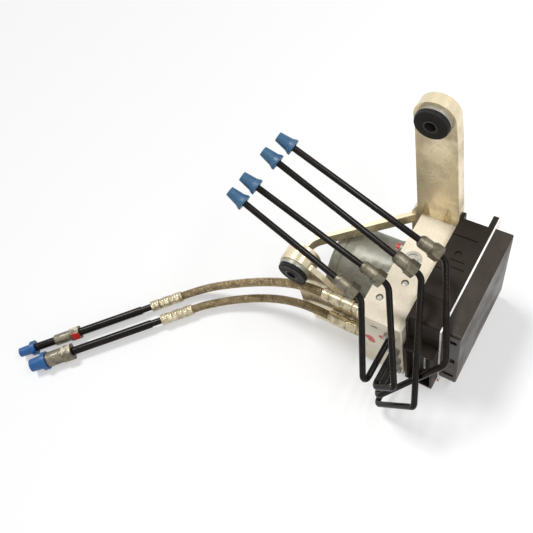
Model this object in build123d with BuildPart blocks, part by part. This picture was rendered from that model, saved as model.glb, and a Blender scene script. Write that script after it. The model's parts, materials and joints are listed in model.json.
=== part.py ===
from build123d import *
import os
from math import cos, pi, radians, sin, tan

# A car's ABS unit on its cast mounting bracket, lying on the bracket's flat floor.
# Millimetres, +Z up. X runs from the pump motor to the control unit, Y from the pipes to the back.
# The model's origin is the middle of the upper bush's sleeve.
# Places are worked out from the valve block's top front corner, beside the control unit,
# and are turned into model coordinates by spot().

# Fits
fit = 0.1
running_gap = 0.3
seat_gap = 0.3

# Upper and lower bush axes, from the block's corner
upper_bush_x, upper_bush_y, upper_bush_z = -27.3, 115.5, 105.5
lower_bush_x, lower_bush_z = -103.5, -4.0

# Valve block
block_length = 104.0
block_height = 88.0
block_thick = 38.0
block_thin = 32.0
thick_length = 42.0
block_edge = 0.8
slot_x, slot_z = -23.6, -12.0
slot_length, slot_width, slot_depth = 6.0, 2.4, 6.0

# Brake pipes: loose end, upper bend, then any lower bend, each from the block's corner
pipe_radius = 2.45
flare_radius, flare_length = 3.4, 2.0
pipe_points = [
    [(-136.0, 8.2, 95.1), (-28.6, -3.4, 38.8)],
    [(-132.5, 21.3, 98.7), (-15.8, 14.2, 39.0), (11.8, -36.8, -15.0)],
    [(-126.7, 43.3, 104.6), (2.0, 30.4, 40.0), (28.6, -38.8, -29.6)],
    [(-121.6, 57.0, 107.7), (11.7, 50.6, 39.2), (39.9, -9.3, 3.4)],
]
pipe_bends = [[9.0, 5.0], [10.0, 5.0, 6.0], [9.0, 5.0, 6.0], [9.0, 9.0, 6.0]]
third_port_rise, fourth_port_rise = 12.0, 30.0
port_places = [(-9.5, -17.0), (-7.0, -39.0), (-6.5, third_port_rise - block_height),
               (-6.5, fourth_port_rise - block_height)]
pipe_reach = [-46.0, -36.0, -37.5, -38.5]
port_radius, port_depth = 5.0, 14.0
port_floor = 1.5

# Nuts on the pipes
hex_flat = 11.0
nut_hex, nut_collar, nut_thread, nut_nose = 7.2, 1.2, 8.6, 2.2
nut_thread_radius = 4.9
nut_from_bend = 0.6
port_hex_flat, port_hex_height = 10.0, 3.6

# Caps on the pipes
cap_length, cap_depth = 14.0, 8.0
cap_tip_radius, cap_skirt_radius, cap_neck_radius = 3.7, 6.2, 5.0
cap_skirt, cap_flare = 1.4, 2.8

# Hoses
hose_radius = 4.0
hose_y = 10.0
upper_hose_z, lower_hose_z = -16.0, -58.5
hose_port_radius, hose_port_depth = 6.0, 11.0
union_collar, union_neck, ferrule_length = 4.0, 5.5, 27.5
union_flat, union_neck_radius, ferrule_radius, ferrule_groove = 11.0, 3.8, 5.2, 0.6
crimp_width = 3.6
upper_first_run, lower_first_run, last_run = 6.0, 9.0, 9.0
upper_hose_points = [(-87.2, 10.0, -16.8), (-93.2, 10.0, -18.4), (-103.5, 10.1, -22.7),
                     (-115.2, 10.1, -29.7), (-127.8, 9.5, -37.2), (-140.7, 8.1, -45.0),
                     (-154.3, 6.1, -53.2), (-168.0, 3.3, -61.3), (-180.9, -0.1, -68.3),
                     (-193.3, -4.2, -74.6), (-204.1, -8.8, -79.7), (-212.9, -14.4, -82.7)]
lower_hose_points = [(-95.1, 10.5, -60.3), (-105.6, 10.7, -63.0), (-117.9, 10.1, -66.7),
                     (-131.7, 8.0, -70.8), (-146.1, 4.2, -74.8), (-160.2, -1.3, -78.0),
                     (-173.0, -7.9, -80.3), (-183.8, -14.6, -81.8), (-192.6, -21.1, -82.5)]
upper_hose_end, lower_hose_end = (-226.1, -27.0, -84.0), (-207.0, -34.6, -82.8)
bend_share = 0.45

# Loose ends of the hoses: heading seen from above, ferrule, neck, pipe, nut and cap.
# The two ends differ in the nut's place, flats and thread and in the cap's radius and place.
end_heading = 227.7
end_ferrule_length, end_neck_length, end_neck_radius, end_pipe_radius = 32.0, 11.0, 3.25, 4.0
end_hex, end_thread = 9.0, 17.0
upper_end = {"nut": 108.5, "flat": 12.5, "thread": 5.3, "cap": 155.4, "cap_radius": 7.3}
lower_end = {"nut": 125.3, "flat": 16.0, "thread": 7.2, "cap": 151.8, "cap_radius": 9.1}
end_cap_length, end_cap_depth, end_cap_taper, end_cap_draft = 17.0, 12.0, 2.2, 0.6

# Pump motor
can_share_of_length, can_share_of_height, can_inset = 0.22, 0.3, 15.28
can_radius = can_share_of_length * block_length + can_share_of_height * block_height - can_inset
can_wall, can_length, can_round = 1.8, 57.0, 4.0
can_band, can_band_length = 0.9, 9.0
can_band_radius = can_radius + can_band
can_boss_radius, can_boss_length = 10.0, 5.0
can_bead_from_end, can_bead_width, can_bead_depth = 9.0, 1.6, 0.6
flange_width, flange_thickness = 3.5, 3.0
flange_radius = can_radius + flange_width
ear_radius, ear_reach = 5.0, 4.5
ear_circle = flange_radius + ear_reach
motor_from_back, motor_drop = 4.7, 4.0
motor_y = block_length - flange_radius - motor_from_back
motor_z = -(block_height / 2 + motor_drop)
ear_angles = [12.0, 132.0, 225.0]
motor_screw_radius, motor_screw_length = 2.0, 12.0
screw_head_radius, screw_head_height = 3.8, 3.2
spigot_radius, spigot_depth = 17.0, 4.0
end_plate_thickness = 3.0
bearing_radius, bearing_width = 8.0, 5.0
shaft_radius, journal_radius, journal_length = 4.0, 3.0, 5.0
chamber_radius, chamber_floor = 11.0, -12.0
eccentric_radius, eccentric_throw, eccentric_width = 5.5, 1.0, 11.0
eccentric_ring_radius, ring_wall = 9.2, 3.6
core_slots = 8
slot_depth_core, slot_width_core = 5.0, 3.0
winding_step, winding_length = 3.0, 6.0
commutator_radius, commutator_length = 8.0, 8.0
magnet_wall, magnet_angle = 8.0, 120.0
winding_gap, air_gap, commutator_rise = 3.0, 4.2, 6.2
core_radius = can_radius - can_wall - magnet_wall - air_gap
winding_radius = core_radius - winding_step
core_length = can_length - can_wall - winding_gap - 2 * winding_length - commutator_length - commutator_rise
brush_width, brush_length, brush_rail = 5.0, 9.0, 2.0
holder_thickness = 2.5

# Pump pistons, plugs and small ball plugs in the block
pump_x = -20.0
pump_bore_radius, plug_radius, plug_head = 6.0, 7.5, 4.0
piston_radius, spring_length, plug_neck = 4.0, 9.0, 2.3
piston_room = block_height / 2 - motor_drop - plug_head - plug_neck
piston_length = piston_room - chamber_radius + seat_gap - spring_length
wire_radius, spring_turns = 0.8, 3
plug_ring_radius, plug_ring_width, plug_ring_depth = 5.0, 1.0, 0.8
ball_plug_radius, ball_plug_depth = 3.0, 5.0
ball_plug_places = [(-16.0, 39.7), (-28.0, 20.0)]

# Low-pressure accumulators in the block's back face
accumulator_x = -16.0
accumulator_from_top, accumulator_from_floor = 25.0, 26.0
accumulator_places_z = [-accumulator_from_top, accumulator_from_floor - block_height]
accumulator_radius, accumulator_depth = 11.0, 26.0
accumulator_piston, accumulator_cover = 8.0, 3.0
accumulator_skirt, accumulator_wall = 5.0, 2.0

# Valves and coils
valve_y = [26.0, 44.0]
valve_inset, valve_rows = 14.0, 4
valve_pitch = (block_height - 2 * valve_inset) / (valve_rows - 1)
valve_z = [-valve_inset - row * valve_pitch for row in range(valve_rows)]
valve_radius, valve_depth = 5.5, 16.0
dome_radius, dome_height = 3.0, 19.0
coil_radius, coil_length, coil_flange, coil_waist = 8.5, 15.0, 1.2, 7.5

# Control unit
unit_front, unit_top, unit_overhang = 9.7, 10.0, 4.0
unit_back = block_length + unit_overhang
unit_depth, unit_wall, unit_round = 26.5, 2.2, 2.0
lip_front, lip_reach, lip_thickness = 7.3, 5.6, 2.0
lip_back = unit_back + lip_reach
plate_thickness, plate_front = 1.3, 9.0
plate_margin, cover_margin, tab_reach = 2.0, 1.0, 8.6
plate_back, tab_back = unit_back + plate_margin, unit_back + plate_margin + tab_reach
tab_height, tab_thickness, tab_root = 16.0, 4.5, 2.0
tip_width, tip_length = 5.0, 3.4
groove_depth, groove_width = 0.9, 1.4
top_grooves = [(10.6, 90.5, 20.0), (16.2, 62.2, 10.5), (3.0, 57.5, 5.0), (13.5, 68.5, 11.0)]
dimple_x, dimple_y, dimple_radius, dimple_depth = 11.8, 74.7, 3.0, 1.4
panel_left, panel_right, panel_front, panel_back, panel_depth = 1.5, 18.6, 12.5, 33.5, 0.6
cover_depth, cover_rise = 14.3, 8.0
cover_back, cover_bottom = unit_back + cover_margin, cover_rise - block_height
cover_wall, cover_round = 2.5, 2.5
cover_notches = [(-1.0, 5.0), (-35.0, 8.0), (-66.0, 5.0)]
notch_inset, notch_depth = 2.5, 1.5
plug_front, plug_left, plug_right, plug_top = -1.0, 2.0, 26.0, -24.0
plug_wall, plug_floor = 2.0, 2.0
seal_width, seal_depth, seal_inset = 2.0, 0.9, 3.0
board_thickness, board_gap = 1.6, 0.5
pin_width, pin_stagger = 1.4, 2.0
pin_columns = [18.0, 9.0]
pin_pitch, pin_from_top, pin_from_floor = 4.0, 8.0, 13.5
pin_z = [plug_top - pin_from_top - row * pin_pitch for row in range(6)]
pin_z += [pin_from_floor + pin_pitch - block_height, pin_from_floor - block_height]
pin_gap = 1.0
board_places = [(60.0, -20.0, 18.0, 18.0), (60.0, -52.0, 12.0, 10.0), (88.0, -52.0, 12.0, 10.0),
                (34.0, -20.0, 8.0, 12.0), (34.0, -48.0, 10.0, 8.0)]
chip_height = 2.0
capacitor_from_back = 14.0
capacitor_places = [(block_length - capacitor_from_back, z) for z in (-12.0, -28.0)]
capacitor_radius, capacitor_height = 5.0, 9.0
unit_screw_radius, unit_screw_length = 2.0, 34.0
front_screw, back_screw = 17.0, 9.0
unit_screw_places = [(front_screw, -24.0), (block_length - back_screw, -9.0),
                     (front_screw, 24.0 - block_height), (block_length - back_screw, 9.0 - block_height)]
post_radius = 4.4

# Bracket
wall = 5.0
front_wall_y = 15.8
floor_thickness, floor_left, floor_corner = 4.0, -98.0, 20.0
front_left, front_foot = -107.0, -70.0
front_step_x, front_step = -50.0, -46.0
front_shoulder_x, front_shoulder = -79.5, -6.0
strap_height, strap_thickness, strap_bend, strap_clearance = 10.5, 4.0, 20.0, 0.5
strap_top = motor_z + can_radius + strap_clearance + strap_height
strap_corners = [(-108.5, 16.0), (-107.7, 46.5), (-39.5, 106.8)]
front_shoulder_step, front_shoulder_run, front_drop, front_round = 6.0, 10.0, -12.0, 3.0
eye_radius, eye_length, eye_floor = 15.0, 12.8, 3.2
lug_radius = 16.0
arm_thickness, arm_flange, arm_flange_depth = 4.8, 3.0, 10.0
arm_bend_z, arm_left, arm_right, arm_foot, back_left = 9.0, -46.0, -0.3, -36.0, -41.0
arm_shoulder_x, arm_shoulder_z = -9.0, 84.0
dart_places, dart_width, dart_height = [-28.5, -9.5], 8.5, 18.0
dart_angle, dart_depth = 80.0, 3.8
bracket_bolt_radius, bracket_bolt_length = 3.0, 14.0
bolt_flat, bolt_head = 10.0, 4.0
back_bolt_places = [(-16.0, -45.0), (-16.0, -7.0)]
floor_bolt_front, floor_bolt_inset = 30.0, 12.0
floor_bolt_places = [(-24.0, floor_bolt_front), (-24.0, block_length - floor_bolt_inset)]
floor_bolt_length = 12.0

# Bushes
bush_disc_radius, bush_disc = 13.0, 3.6
bush_neck_radius, bush_round = 10.0, 1.4
washer_radius, washer_thickness = 13.6, 3.4
sleeve_radius, sleeve_bore, sleeve_length = 5.5, 4.4, 20.0
sleeve_proud = 0.5
rear_flange = 4.0


def spot(x, y, z):
    return Vector(x - upper_bush_x, y - upper_bush_y, z - upper_bush_z)


def level(z):
    # Horizontal plane, drawn in X and Y
    return Plane(origin=spot(0, 0, z))


def facing_front(y):
    # Upright plane that looks toward the pipes, drawn in X and Z
    return Plane(origin=spot(0, y, 0), x_dir=(1, 0, 0), z_dir=(0, -1, 0))


def facing_cover(x):
    # Upright plane that looks toward the control unit's cover, drawn in Y and Z
    return Plane(origin=spot(x, 0, 0), x_dir=(0, 1, 0), z_dir=(1, 0, 0))


def facing_motor(x):
    # Upright plane on the motor's axis that looks toward the motor, drawn in -Y and Z
    return Plane(origin=spot(x, motor_y, motor_z), x_dir=(0, -1, 0), z_dir=(-1, 0, 0))


def turned(start, steps, bore=0.0):
    # A turned piece: (radius, length) steps along the plane's normal, with a through bore
    with BuildPart() as piece:
        reach = 0.0
        for radius, length in steps:
            with BuildSketch(start.offset(reach)):
                Circle(radius)
            extrude(amount=length)
            reach += length
        if bore:
            with BuildSketch(start):
                Circle(bore)
            extrude(amount=reach, mode=Mode.SUBTRACT)
    return piece.part


def spring(start, radius, length):
    # A helical spring that stands on the plane
    with BuildPart() as coil:
        with BuildLine() as path:
            Helix(pitch=(length - 2 * wire_radius) / spring_turns, height=length - 2 * wire_radius,
                  radius=radius, center=start.origin + start.z_dir * wire_radius,
                  direction=start.z_dir)
        with BuildSketch(Plane(origin=path.line @ 0, z_dir=path.line % 0)):
            RegularPolygon(wire_radius, 6)
        sweep()
    return coil.part


def tube(points, radii, radius):
    # A round bar along straight runs joined by arcs
    with BuildPart() as bar:
        with BuildLine() as path:
            FilletPolyline(*points, radius=radii)
        with BuildSketch(Plane(origin=path.line @ 0, z_dir=path.line % 0)):
            Circle(radius)
        sweep()
    return bar.part


def lathe(start, profile):
    # A piece of revolution from (radius, height) corners about the plane's normal
    with BuildPart() as piece:
        with BuildSketch(Plane(origin=start.origin, x_dir=start.x_dir, z_dir=-start.y_dir)):
            with BuildLine():
                Polyline(*profile, close=True)
            make_face()
        revolve(axis=Axis(start.origin, start.z_dir))
    return piece.part


def along(start, end):
    # Plane at start that looks toward end
    return Plane(origin=start, z_dir=end - start)


# Valve block with its ports, bores and the seat of the motor
motor_face = facing_motor(-block_thin)
block_back = facing_front(block_length)
piston_start = chamber_radius - seat_gap
spring_start = piston_start + piston_length
plug_start = spring_start + spring_length
with BuildPart() as valve_block:
    with BuildSketch(level(-block_height)):
        with BuildLine():
            Polyline((0, 0), (0, block_length), (-block_thin, block_length),
                     (-block_thin, thick_length), (-block_thick, thick_length),
                     (-block_thick, 0), close=True)
        make_face()
    extrude(amount=block_height)
    chamfer(valve_block.edges().filter_by(Axis.Z), block_edge)
    with BuildSketch(facing_motor(-block_thin)):
        Circle(flange_radius + seat_gap)
        for angle in ear_angles:
            with Locations((-ear_circle * sin(radians(angle)), ear_circle * cos(radians(angle)))):
                Circle(ear_radius + seat_gap)
    extrude(amount=block_thick - block_thin, mode=Mode.SUBTRACT)
    with BuildSketch(motor_face):
        Circle(spigot_radius)
    extrude(amount=-spigot_depth, mode=Mode.SUBTRACT)
    with BuildSketch(motor_face):
        Circle(chamber_radius)
    extrude(amount=-block_thin - chamber_floor, mode=Mode.SUBTRACT)
    with BuildSketch(facing_motor(chamber_floor)):
        Circle(journal_radius + fit)
    extrude(amount=-journal_length, mode=Mode.SUBTRACT)
    with BuildSketch(motor_face):
        for angle in ear_angles:
            with Locations((-ear_circle * sin(radians(angle)), ear_circle * cos(radians(angle)))):
                Circle(motor_screw_radius)
    extrude(amount=-motor_screw_length, mode=Mode.SUBTRACT)
    with BuildSketch(level(0)):
        with Locations((pump_x, motor_y)):
            Circle(pump_bore_radius)
    extrude(amount=-block_height, mode=Mode.SUBTRACT)
    for face, depth in ((0, -plug_head), (-block_height, plug_head)):
        with BuildSketch(level(face)):
            with Locations((pump_x, motor_y)):
                Circle(plug_radius)
        extrude(amount=depth, mode=Mode.SUBTRACT)
    with BuildSketch(level(0)):
        with Locations(*ball_plug_places):
            Circle(ball_plug_radius)
    extrude(amount=-ball_plug_depth, mode=Mode.SUBTRACT)
    with BuildSketch(facing_front(0)):
        with Locations(*port_places):
            Circle(port_radius)
    extrude(amount=-port_depth, mode=Mode.SUBTRACT)
    with BuildSketch(facing_front(0)):
        with Locations((slot_x, slot_z)):
            SlotOverall(slot_length, slot_width)
    extrude(amount=-slot_depth, mode=Mode.SUBTRACT)
    with BuildSketch(facing_cover(-block_thick)):
        with Locations((hose_y, upper_hose_z), (hose_y, lower_hose_z)):
            Circle(hose_port_radius)
    extrude(amount=hose_port_depth, mode=Mode.SUBTRACT)
    with BuildSketch(facing_cover(0)):
        for y in valve_y:
            with Locations(*[(y, z) for z in valve_z]):
                Circle(valve_radius)
    extrude(amount=-valve_depth, mode=Mode.SUBTRACT)
    with BuildSketch(block_back):
        with Locations(*[(accumulator_x, z) for z in accumulator_places_z]):
            Circle(accumulator_radius)
    extrude(amount=accumulator_depth, mode=Mode.SUBTRACT)
    with BuildSketch(block_back):
        with Locations(*back_bolt_places):
            Circle(bracket_bolt_radius)
    extrude(amount=bracket_bolt_length - arm_thickness, mode=Mode.SUBTRACT)
    with BuildSketch(level(-block_height)):
        with Locations(*floor_bolt_places):
            Circle(bracket_bolt_radius)
    extrude(amount=floor_bolt_length - floor_thickness, mode=Mode.SUBTRACT)
    with BuildSketch(facing_cover(0)):
        with Locations(*unit_screw_places):
            Circle(unit_screw_radius)
    extrude(amount=-(unit_screw_length - unit_depth), mode=Mode.SUBTRACT)

# Pump motor: drawn steel can with its flange and rear bearing boss
can_end = facing_motor(-block_thin - can_length)
with BuildPart() as motor_can:
    with BuildSketch(motor_face):
        Circle(can_radius)
    extrude(amount=can_length)
    fillet(motor_can.edges().group_by(Axis.X)[0], can_round)
    with BuildSketch(can_end.offset(-can_bead_from_end)):
        Circle(can_radius)
        Circle(can_radius - can_bead_depth, mode=Mode.SUBTRACT)
    extrude(amount=-can_bead_width, mode=Mode.SUBTRACT)
    with BuildSketch(motor_face):
        Circle(can_band_radius)
    extrude(amount=can_band_length)
    with BuildSketch(can_end):
        Circle(can_boss_radius)
    extrude(amount=can_boss_length)
    with BuildSketch(motor_face):
        Circle(flange_radius)
        for angle in ear_angles:
            with Locations((-ear_circle * sin(radians(angle)), ear_circle * cos(radians(angle)))):
                Circle(ear_radius)
    extrude(amount=flange_thickness)
    with BuildSketch(motor_face):
        Circle(can_radius - can_wall)
    extrude(amount=can_length - can_wall, mode=Mode.SUBTRACT)
    with BuildSketch(can_end):
        Circle(bearing_radius)
    extrude(amount=can_boss_length - can_wall, mode=Mode.SUBTRACT)
    with BuildSketch(can_end.offset(-can_wall)):
        Circle(bearing_radius)
    extrude(amount=can_wall, mode=Mode.SUBTRACT)
    with BuildSketch(motor_face):
        for angle in ear_angles:
            with Locations((-ear_circle * sin(radians(angle)), ear_circle * cos(radians(angle)))):
                Circle(motor_screw_radius + fit)
    extrude(amount=flange_thickness, mode=Mode.SUBTRACT)

with BuildPart() as motor_screws:
    for angle in ear_angles:
        ear = Plane(origin=motor_face.from_local_coords(
            (-ear_circle * sin(radians(angle)), ear_circle * cos(radians(angle)), flange_thickness)),
            x_dir=motor_face.x_dir, z_dir=motor_face.z_dir)
        with BuildSketch(ear):
            Circle(screw_head_radius)
        extrude(amount=screw_head_height)
        with BuildSketch(ear.offset(screw_head_height)):
            RegularPolygon(screw_head_radius / 2, 6)
        extrude(amount=-screw_head_height / 2, mode=Mode.SUBTRACT)
        with BuildSketch(ear):
            Circle(motor_screw_radius)
        extrude(amount=-(motor_screw_length + flange_thickness - seat_gap))

# Front bearing shield, with the spigot that seats in the block
with BuildPart() as motor_end_plate:
    with BuildSketch(motor_face):
        Circle(can_radius - can_wall - fit)
    extrude(amount=end_plate_thickness)
    with BuildSketch(motor_face):
        Circle(spigot_radius - fit)
    extrude(amount=-(spigot_depth - seat_gap))
    with BuildSketch(motor_face.offset(end_plate_thickness)):
        Circle(shaft_radius + running_gap)
    extrude(amount=-(end_plate_thickness + spigot_depth), mode=Mode.SUBTRACT)
    with BuildSketch(motor_face.offset(-(spigot_depth - seat_gap))):
        Circle(bearing_radius)
    extrude(amount=bearing_width, mode=Mode.SUBTRACT)

front_bearing = motor_face.offset(-(spigot_depth - seat_gap))
rear_bearing = can_end.offset(can_boss_length - can_wall - bearing_width)
with BuildPart() as motor_bearings:
    for seat in (front_bearing, rear_bearing):
        with BuildSketch(seat):
            Circle(bearing_radius)
            Circle(shaft_radius + fit, mode=Mode.SUBTRACT)
        extrude(amount=bearing_width)

# Rotor: shaft with the pump's eccentric, laminated core, windings and commutator
eccentric_start = facing_motor(chamber_floor - running_gap)
ring_centre = eccentric_start.from_local_coords((0, eccentric_throw, 0))
eccentric_axis = Plane(origin=ring_centre, x_dir=motor_face.x_dir, z_dir=motor_face.z_dir)
shaft_end = block_thin + can_length + can_boss_length - can_wall - running_gap
with BuildPart() as motor_shaft:
    with BuildSketch(eccentric_start):
        Circle(journal_radius)
    extrude(amount=-(journal_length - running_gap))
    with BuildSketch(eccentric_axis):
        Circle(eccentric_radius)
    extrude(amount=eccentric_width)
    with BuildSketch(eccentric_start):
        Circle(shaft_radius)
    extrude(amount=shaft_end + chamber_floor - running_gap)

with BuildPart() as eccentric_bearing:
    with BuildSketch(eccentric_axis):
        Circle(eccentric_ring_radius)
        Circle(eccentric_ring_radius - ring_wall + fit, mode=Mode.SUBTRACT)
    extrude(amount=eccentric_width)

core_start = motor_face.offset(can_length - can_wall - winding_gap - winding_length - core_length)
with BuildPart() as armature:
    with BuildSketch(core_start):
        Circle(core_radius)
        with PolarLocations(core_radius, core_slots):
            Rectangle(2 * slot_depth_core, slot_width_core, mode=Mode.SUBTRACT)
        Circle(shaft_radius, mode=Mode.SUBTRACT)
    extrude(amount=core_length)

with BuildPart() as armature_windings:
    for seat in (core_start.offset(-winding_length), core_start.offset(core_length)):
        with BuildSketch(seat):
            Circle(winding_radius)
            Circle(shaft_radius, mode=Mode.SUBTRACT)
        extrude(amount=winding_length)

commutator_start = core_start.offset(-winding_length - commutator_length)
with BuildPart() as commutator:
    with BuildSketch(commutator_start):
        Circle(commutator_radius)
        Circle(shaft_radius, mode=Mode.SUBTRACT)
    extrude(amount=commutator_length)

# Two curved magnets that line the can
magnet_outer = can_radius - can_wall
with BuildPart() as motor_magnets:
    for middle in (90, 270):
        with BuildSketch(core_start):
            with BuildLine():
                a = middle - magnet_angle / 2
                outer = CenterArc((0, 0), magnet_outer, a, magnet_angle)
                inner = CenterArc((0, 0), magnet_outer - magnet_wall, a, magnet_angle)
                Line(outer @ 0, inner @ 0)
                Line(outer @ 1, inner @ 1)
            make_face()
        extrude(amount=core_length)

# Brush holder plate on the end plate, with rails for two brushes on the commutator
holder_start = motor_face.offset(end_plate_thickness)
holder_top = holder_start.offset(holder_thickness)
brush_middle = commutator_radius + running_gap + brush_length / 2
with BuildPart() as brush_holder:
    with BuildSketch(holder_start):
        Circle(magnet_outer - fit)
        Circle(commutator_radius + running_gap, mode=Mode.SUBTRACT)
    extrude(amount=holder_thickness)
    with BuildSketch(holder_top):
        with Locations((-brush_middle, 0), (brush_middle, 0)):
            Rectangle(brush_length, brush_width + 2 * brush_rail)
            Rectangle(brush_length, brush_width + 2 * fit, mode=Mode.SUBTRACT)
    extrude(amount=brush_width)

with BuildPart() as motor_brushes:
    with BuildSketch(holder_top):
        with Locations((-brush_middle, 0), (brush_middle, 0)):
            Rectangle(brush_length, brush_width)
    extrude(amount=brush_width)

# Pump elements: piston, spring and plug above and below the shaft
pump_axis = spot(pump_x, motor_y, motor_z)
pump_sides = [Plane(origin=pump_axis, z_dir=(0, 0, 1)), Plane(origin=pump_axis, z_dir=(0, 0, -1))]
plug_faces = [-motor_z, block_height + motor_z]
with BuildPart() as pump_pistons:
    for side in pump_sides:
        add(turned(side.offset(piston_start), [(piston_radius, piston_length / 2),
                                               (pump_bore_radius - fit, piston_length / 2)]))

with BuildPart() as pump_springs:
    for side in pump_sides:
        add(spring(side.offset(spring_start), piston_radius, spring_length))

with BuildPart() as pump_plugs:
    for side, face in zip(pump_sides, plug_faces):
        add(turned(side.offset(plug_start), [(pump_bore_radius - fit, face - plug_head - plug_start),
                                             (plug_radius, plug_head)]))
        with BuildSketch(side.offset(face)):
            Circle(plug_ring_radius)
            Circle(plug_ring_radius - plug_ring_width, mode=Mode.SUBTRACT)
        extrude(amount=-plug_ring_depth, mode=Mode.SUBTRACT)

with BuildPart() as ball_plugs:
    with BuildSketch(level(-block_edge)):
        with Locations(*ball_plug_places):
            Circle(ball_plug_radius)
    extrude(amount=-(ball_plug_depth - block_edge))
    fillet(ball_plugs.edges().group_by(Axis.Z)[-1], ball_plug_radius / 2)

# Accumulators: cup piston and spring in each bore, with its cover
accumulator_spring = accumulator_depth - accumulator_piston + accumulator_skirt - accumulator_cover


def cup_piston(z):
    # Piston on the floor of its bore, hollow toward the cover
    floor = Plane(origin=spot(accumulator_x, block_length - accumulator_depth, z), z_dir=(0, 1, 0))
    with BuildPart() as piston:
        with BuildSketch(floor):
            Circle(accumulator_radius - fit)
        extrude(amount=accumulator_piston)
        with BuildSketch(floor.offset(accumulator_piston)):
            Circle(accumulator_radius - fit - accumulator_wall)
        extrude(amount=-accumulator_skirt, mode=Mode.SUBTRACT)
    return piston.part


def cup_spring(z):
    # Spring from the piston's cup to the cover
    seat = spot(accumulator_x, block_length - accumulator_cover - accumulator_spring, z)
    return spring(Plane(origin=seat, z_dir=(0, 1, 0)), accumulator_radius / 2, accumulator_spring)


upper_accumulator_piston, lower_accumulator_piston = [cup_piston(z) for z in accumulator_places_z]
upper_accumulator_spring, lower_accumulator_spring = [cup_spring(z) for z in accumulator_places_z]

with BuildPart() as accumulator_covers:
    with BuildSketch(block_back):
        with Locations(*[(accumulator_x, z) for z in accumulator_places_z]):
            Circle(accumulator_radius)
    extrude(amount=accumulator_cover)

# Solenoid valves: a seat cartridge in the block and a dome that stands in the coil
with BuildPart() as inlet_valves:
    for z in valve_z:
        seat = Plane(origin=spot(-valve_depth + seat_gap, valve_y[0], z), z_dir=(1, 0, 0))
        add(turned(seat, [(valve_radius - fit, valve_depth - seat_gap), (dome_radius, dome_height)]))

with BuildPart() as outlet_valves:
    for z in valve_z:
        seat = Plane(origin=spot(-valve_depth + seat_gap, valve_y[1], z), z_dir=(1, 0, 0))
        add(turned(seat, [(valve_radius - fit, valve_depth - seat_gap), (dome_radius, dome_height)]))

with BuildPart() as valve_coils:
    for y in valve_y:
        for z in valve_z:
            seat = Plane(origin=spot(lip_thickness, y, z), z_dir=(1, 0, 0))
            add(turned(seat, [(coil_radius, coil_flange), (coil_waist, coil_length - 2 * coil_flange),
                              (coil_radius, coil_flange)], dome_radius + fit))

# Control unit housing: moulded frame with a base, screw posts and the connector's shroud
unit_length = unit_back - unit_front
unit_height = unit_top + block_height
unit_middle = ((unit_front + unit_back) / 2, (unit_top - block_height) / 2)
plug_height = block_height + plug_top
shroud = (plug_left + plug_right) / 2
with BuildPart() as ecu_housing:
    with BuildSketch(facing_cover(0)):
        with Locations(unit_middle):
            RectangleRounded(unit_length, unit_height, unit_round)
    extrude(amount=unit_depth)
    with BuildSketch(facing_cover(0)):
        with Locations(((lip_front + lip_back) / 2, unit_middle[1])):
            RectangleRounded(lip_back - lip_front, unit_height, unit_round)
    extrude(amount=lip_thickness)
    with BuildSketch(facing_cover(unit_depth)):
        with Locations(((tab_back + unit_back - tab_root) / 2, unit_top - tab_height / 2)):
            Rectangle(tab_back - unit_back + tab_root, tab_height)
    extrude(amount=-tab_thickness)
    with BuildSketch(facing_cover(lip_thickness)):
        with Locations(unit_middle):
            Rectangle(unit_length - 2 * unit_wall, unit_height - 2 * unit_wall)
    extrude(amount=unit_depth - lip_thickness, mode=Mode.SUBTRACT)
    with BuildSketch(facing_front(unit_front)):
        with Locations((shroud, -block_height + plug_height / 2)):
            Rectangle(plug_right - plug_left, plug_height)
    extrude(amount=unit_front - plug_front)
    with BuildSketch(facing_front(plug_front)):
        with Locations((shroud, -block_height + plug_height / 2)):
            Rectangle(plug_right - plug_left - 2 * plug_wall, plug_height - 2 * plug_wall)
    extrude(amount=-(unit_front - plug_front - plug_floor), mode=Mode.SUBTRACT)
    with BuildSketch(facing_cover(lip_thickness)):
        with Locations(*unit_screw_places):
            Circle(post_radius)
    extrude(amount=unit_depth - lip_thickness - screw_head_height)
    with BuildSketch(facing_cover(0)):
        with Locations(*unit_screw_places):
            Circle(unit_screw_radius + fit)
        for y in valve_y:
            with Locations(*[(y, z) for z in valve_z]):
                Circle(dome_radius + fit)
    extrude(amount=unit_depth, mode=Mode.SUBTRACT)
    for column, x in enumerate(pin_columns):
        with BuildSketch(facing_front(plug_front + plug_floor)):
            with Locations(*[(x + pin_width / 2, z - column * pin_stagger) for z in pin_z]):
                Rectangle(pin_width + 2 * fit, pin_width + 2 * fit)
        extrude(amount=-(unit_front + unit_wall - plug_front), mode=Mode.SUBTRACT)
    with BuildSketch(level(unit_top)):
        for x, y, length in top_grooves:
            with Locations((x, y)):
                Rectangle(length, groove_width)
    extrude(amount=-groove_depth, mode=Mode.SUBTRACT)
    with BuildSketch(level(unit_top)):
        with Locations((dimple_x, dimple_y)):
            Circle(dimple_radius)
    extrude(amount=-dimple_depth, mode=Mode.SUBTRACT)
    with BuildSketch(level(unit_top)):
        with Locations(((panel_left + panel_right) / 2, (panel_front + panel_back) / 2)):
            RectangleRounded(panel_right - panel_left, panel_back - panel_front, unit_round)
    extrude(amount=-panel_depth, mode=Mode.SUBTRACT)
    with BuildSketch(facing_cover(0)):
        with Locations((block_length / 2 + unit_front / 2, -block_height / 2)):
            seal_height = block_height - 2 * seal_inset
            seal_length = block_length - unit_front - 2 * seal_inset
            Rectangle(seal_length, seal_height)
            Rectangle(seal_length - 2 * seal_width, seal_height - 2 * seal_width, mode=Mode.SUBTRACT)
    extrude(amount=seal_depth, mode=Mode.SUBTRACT)

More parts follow.
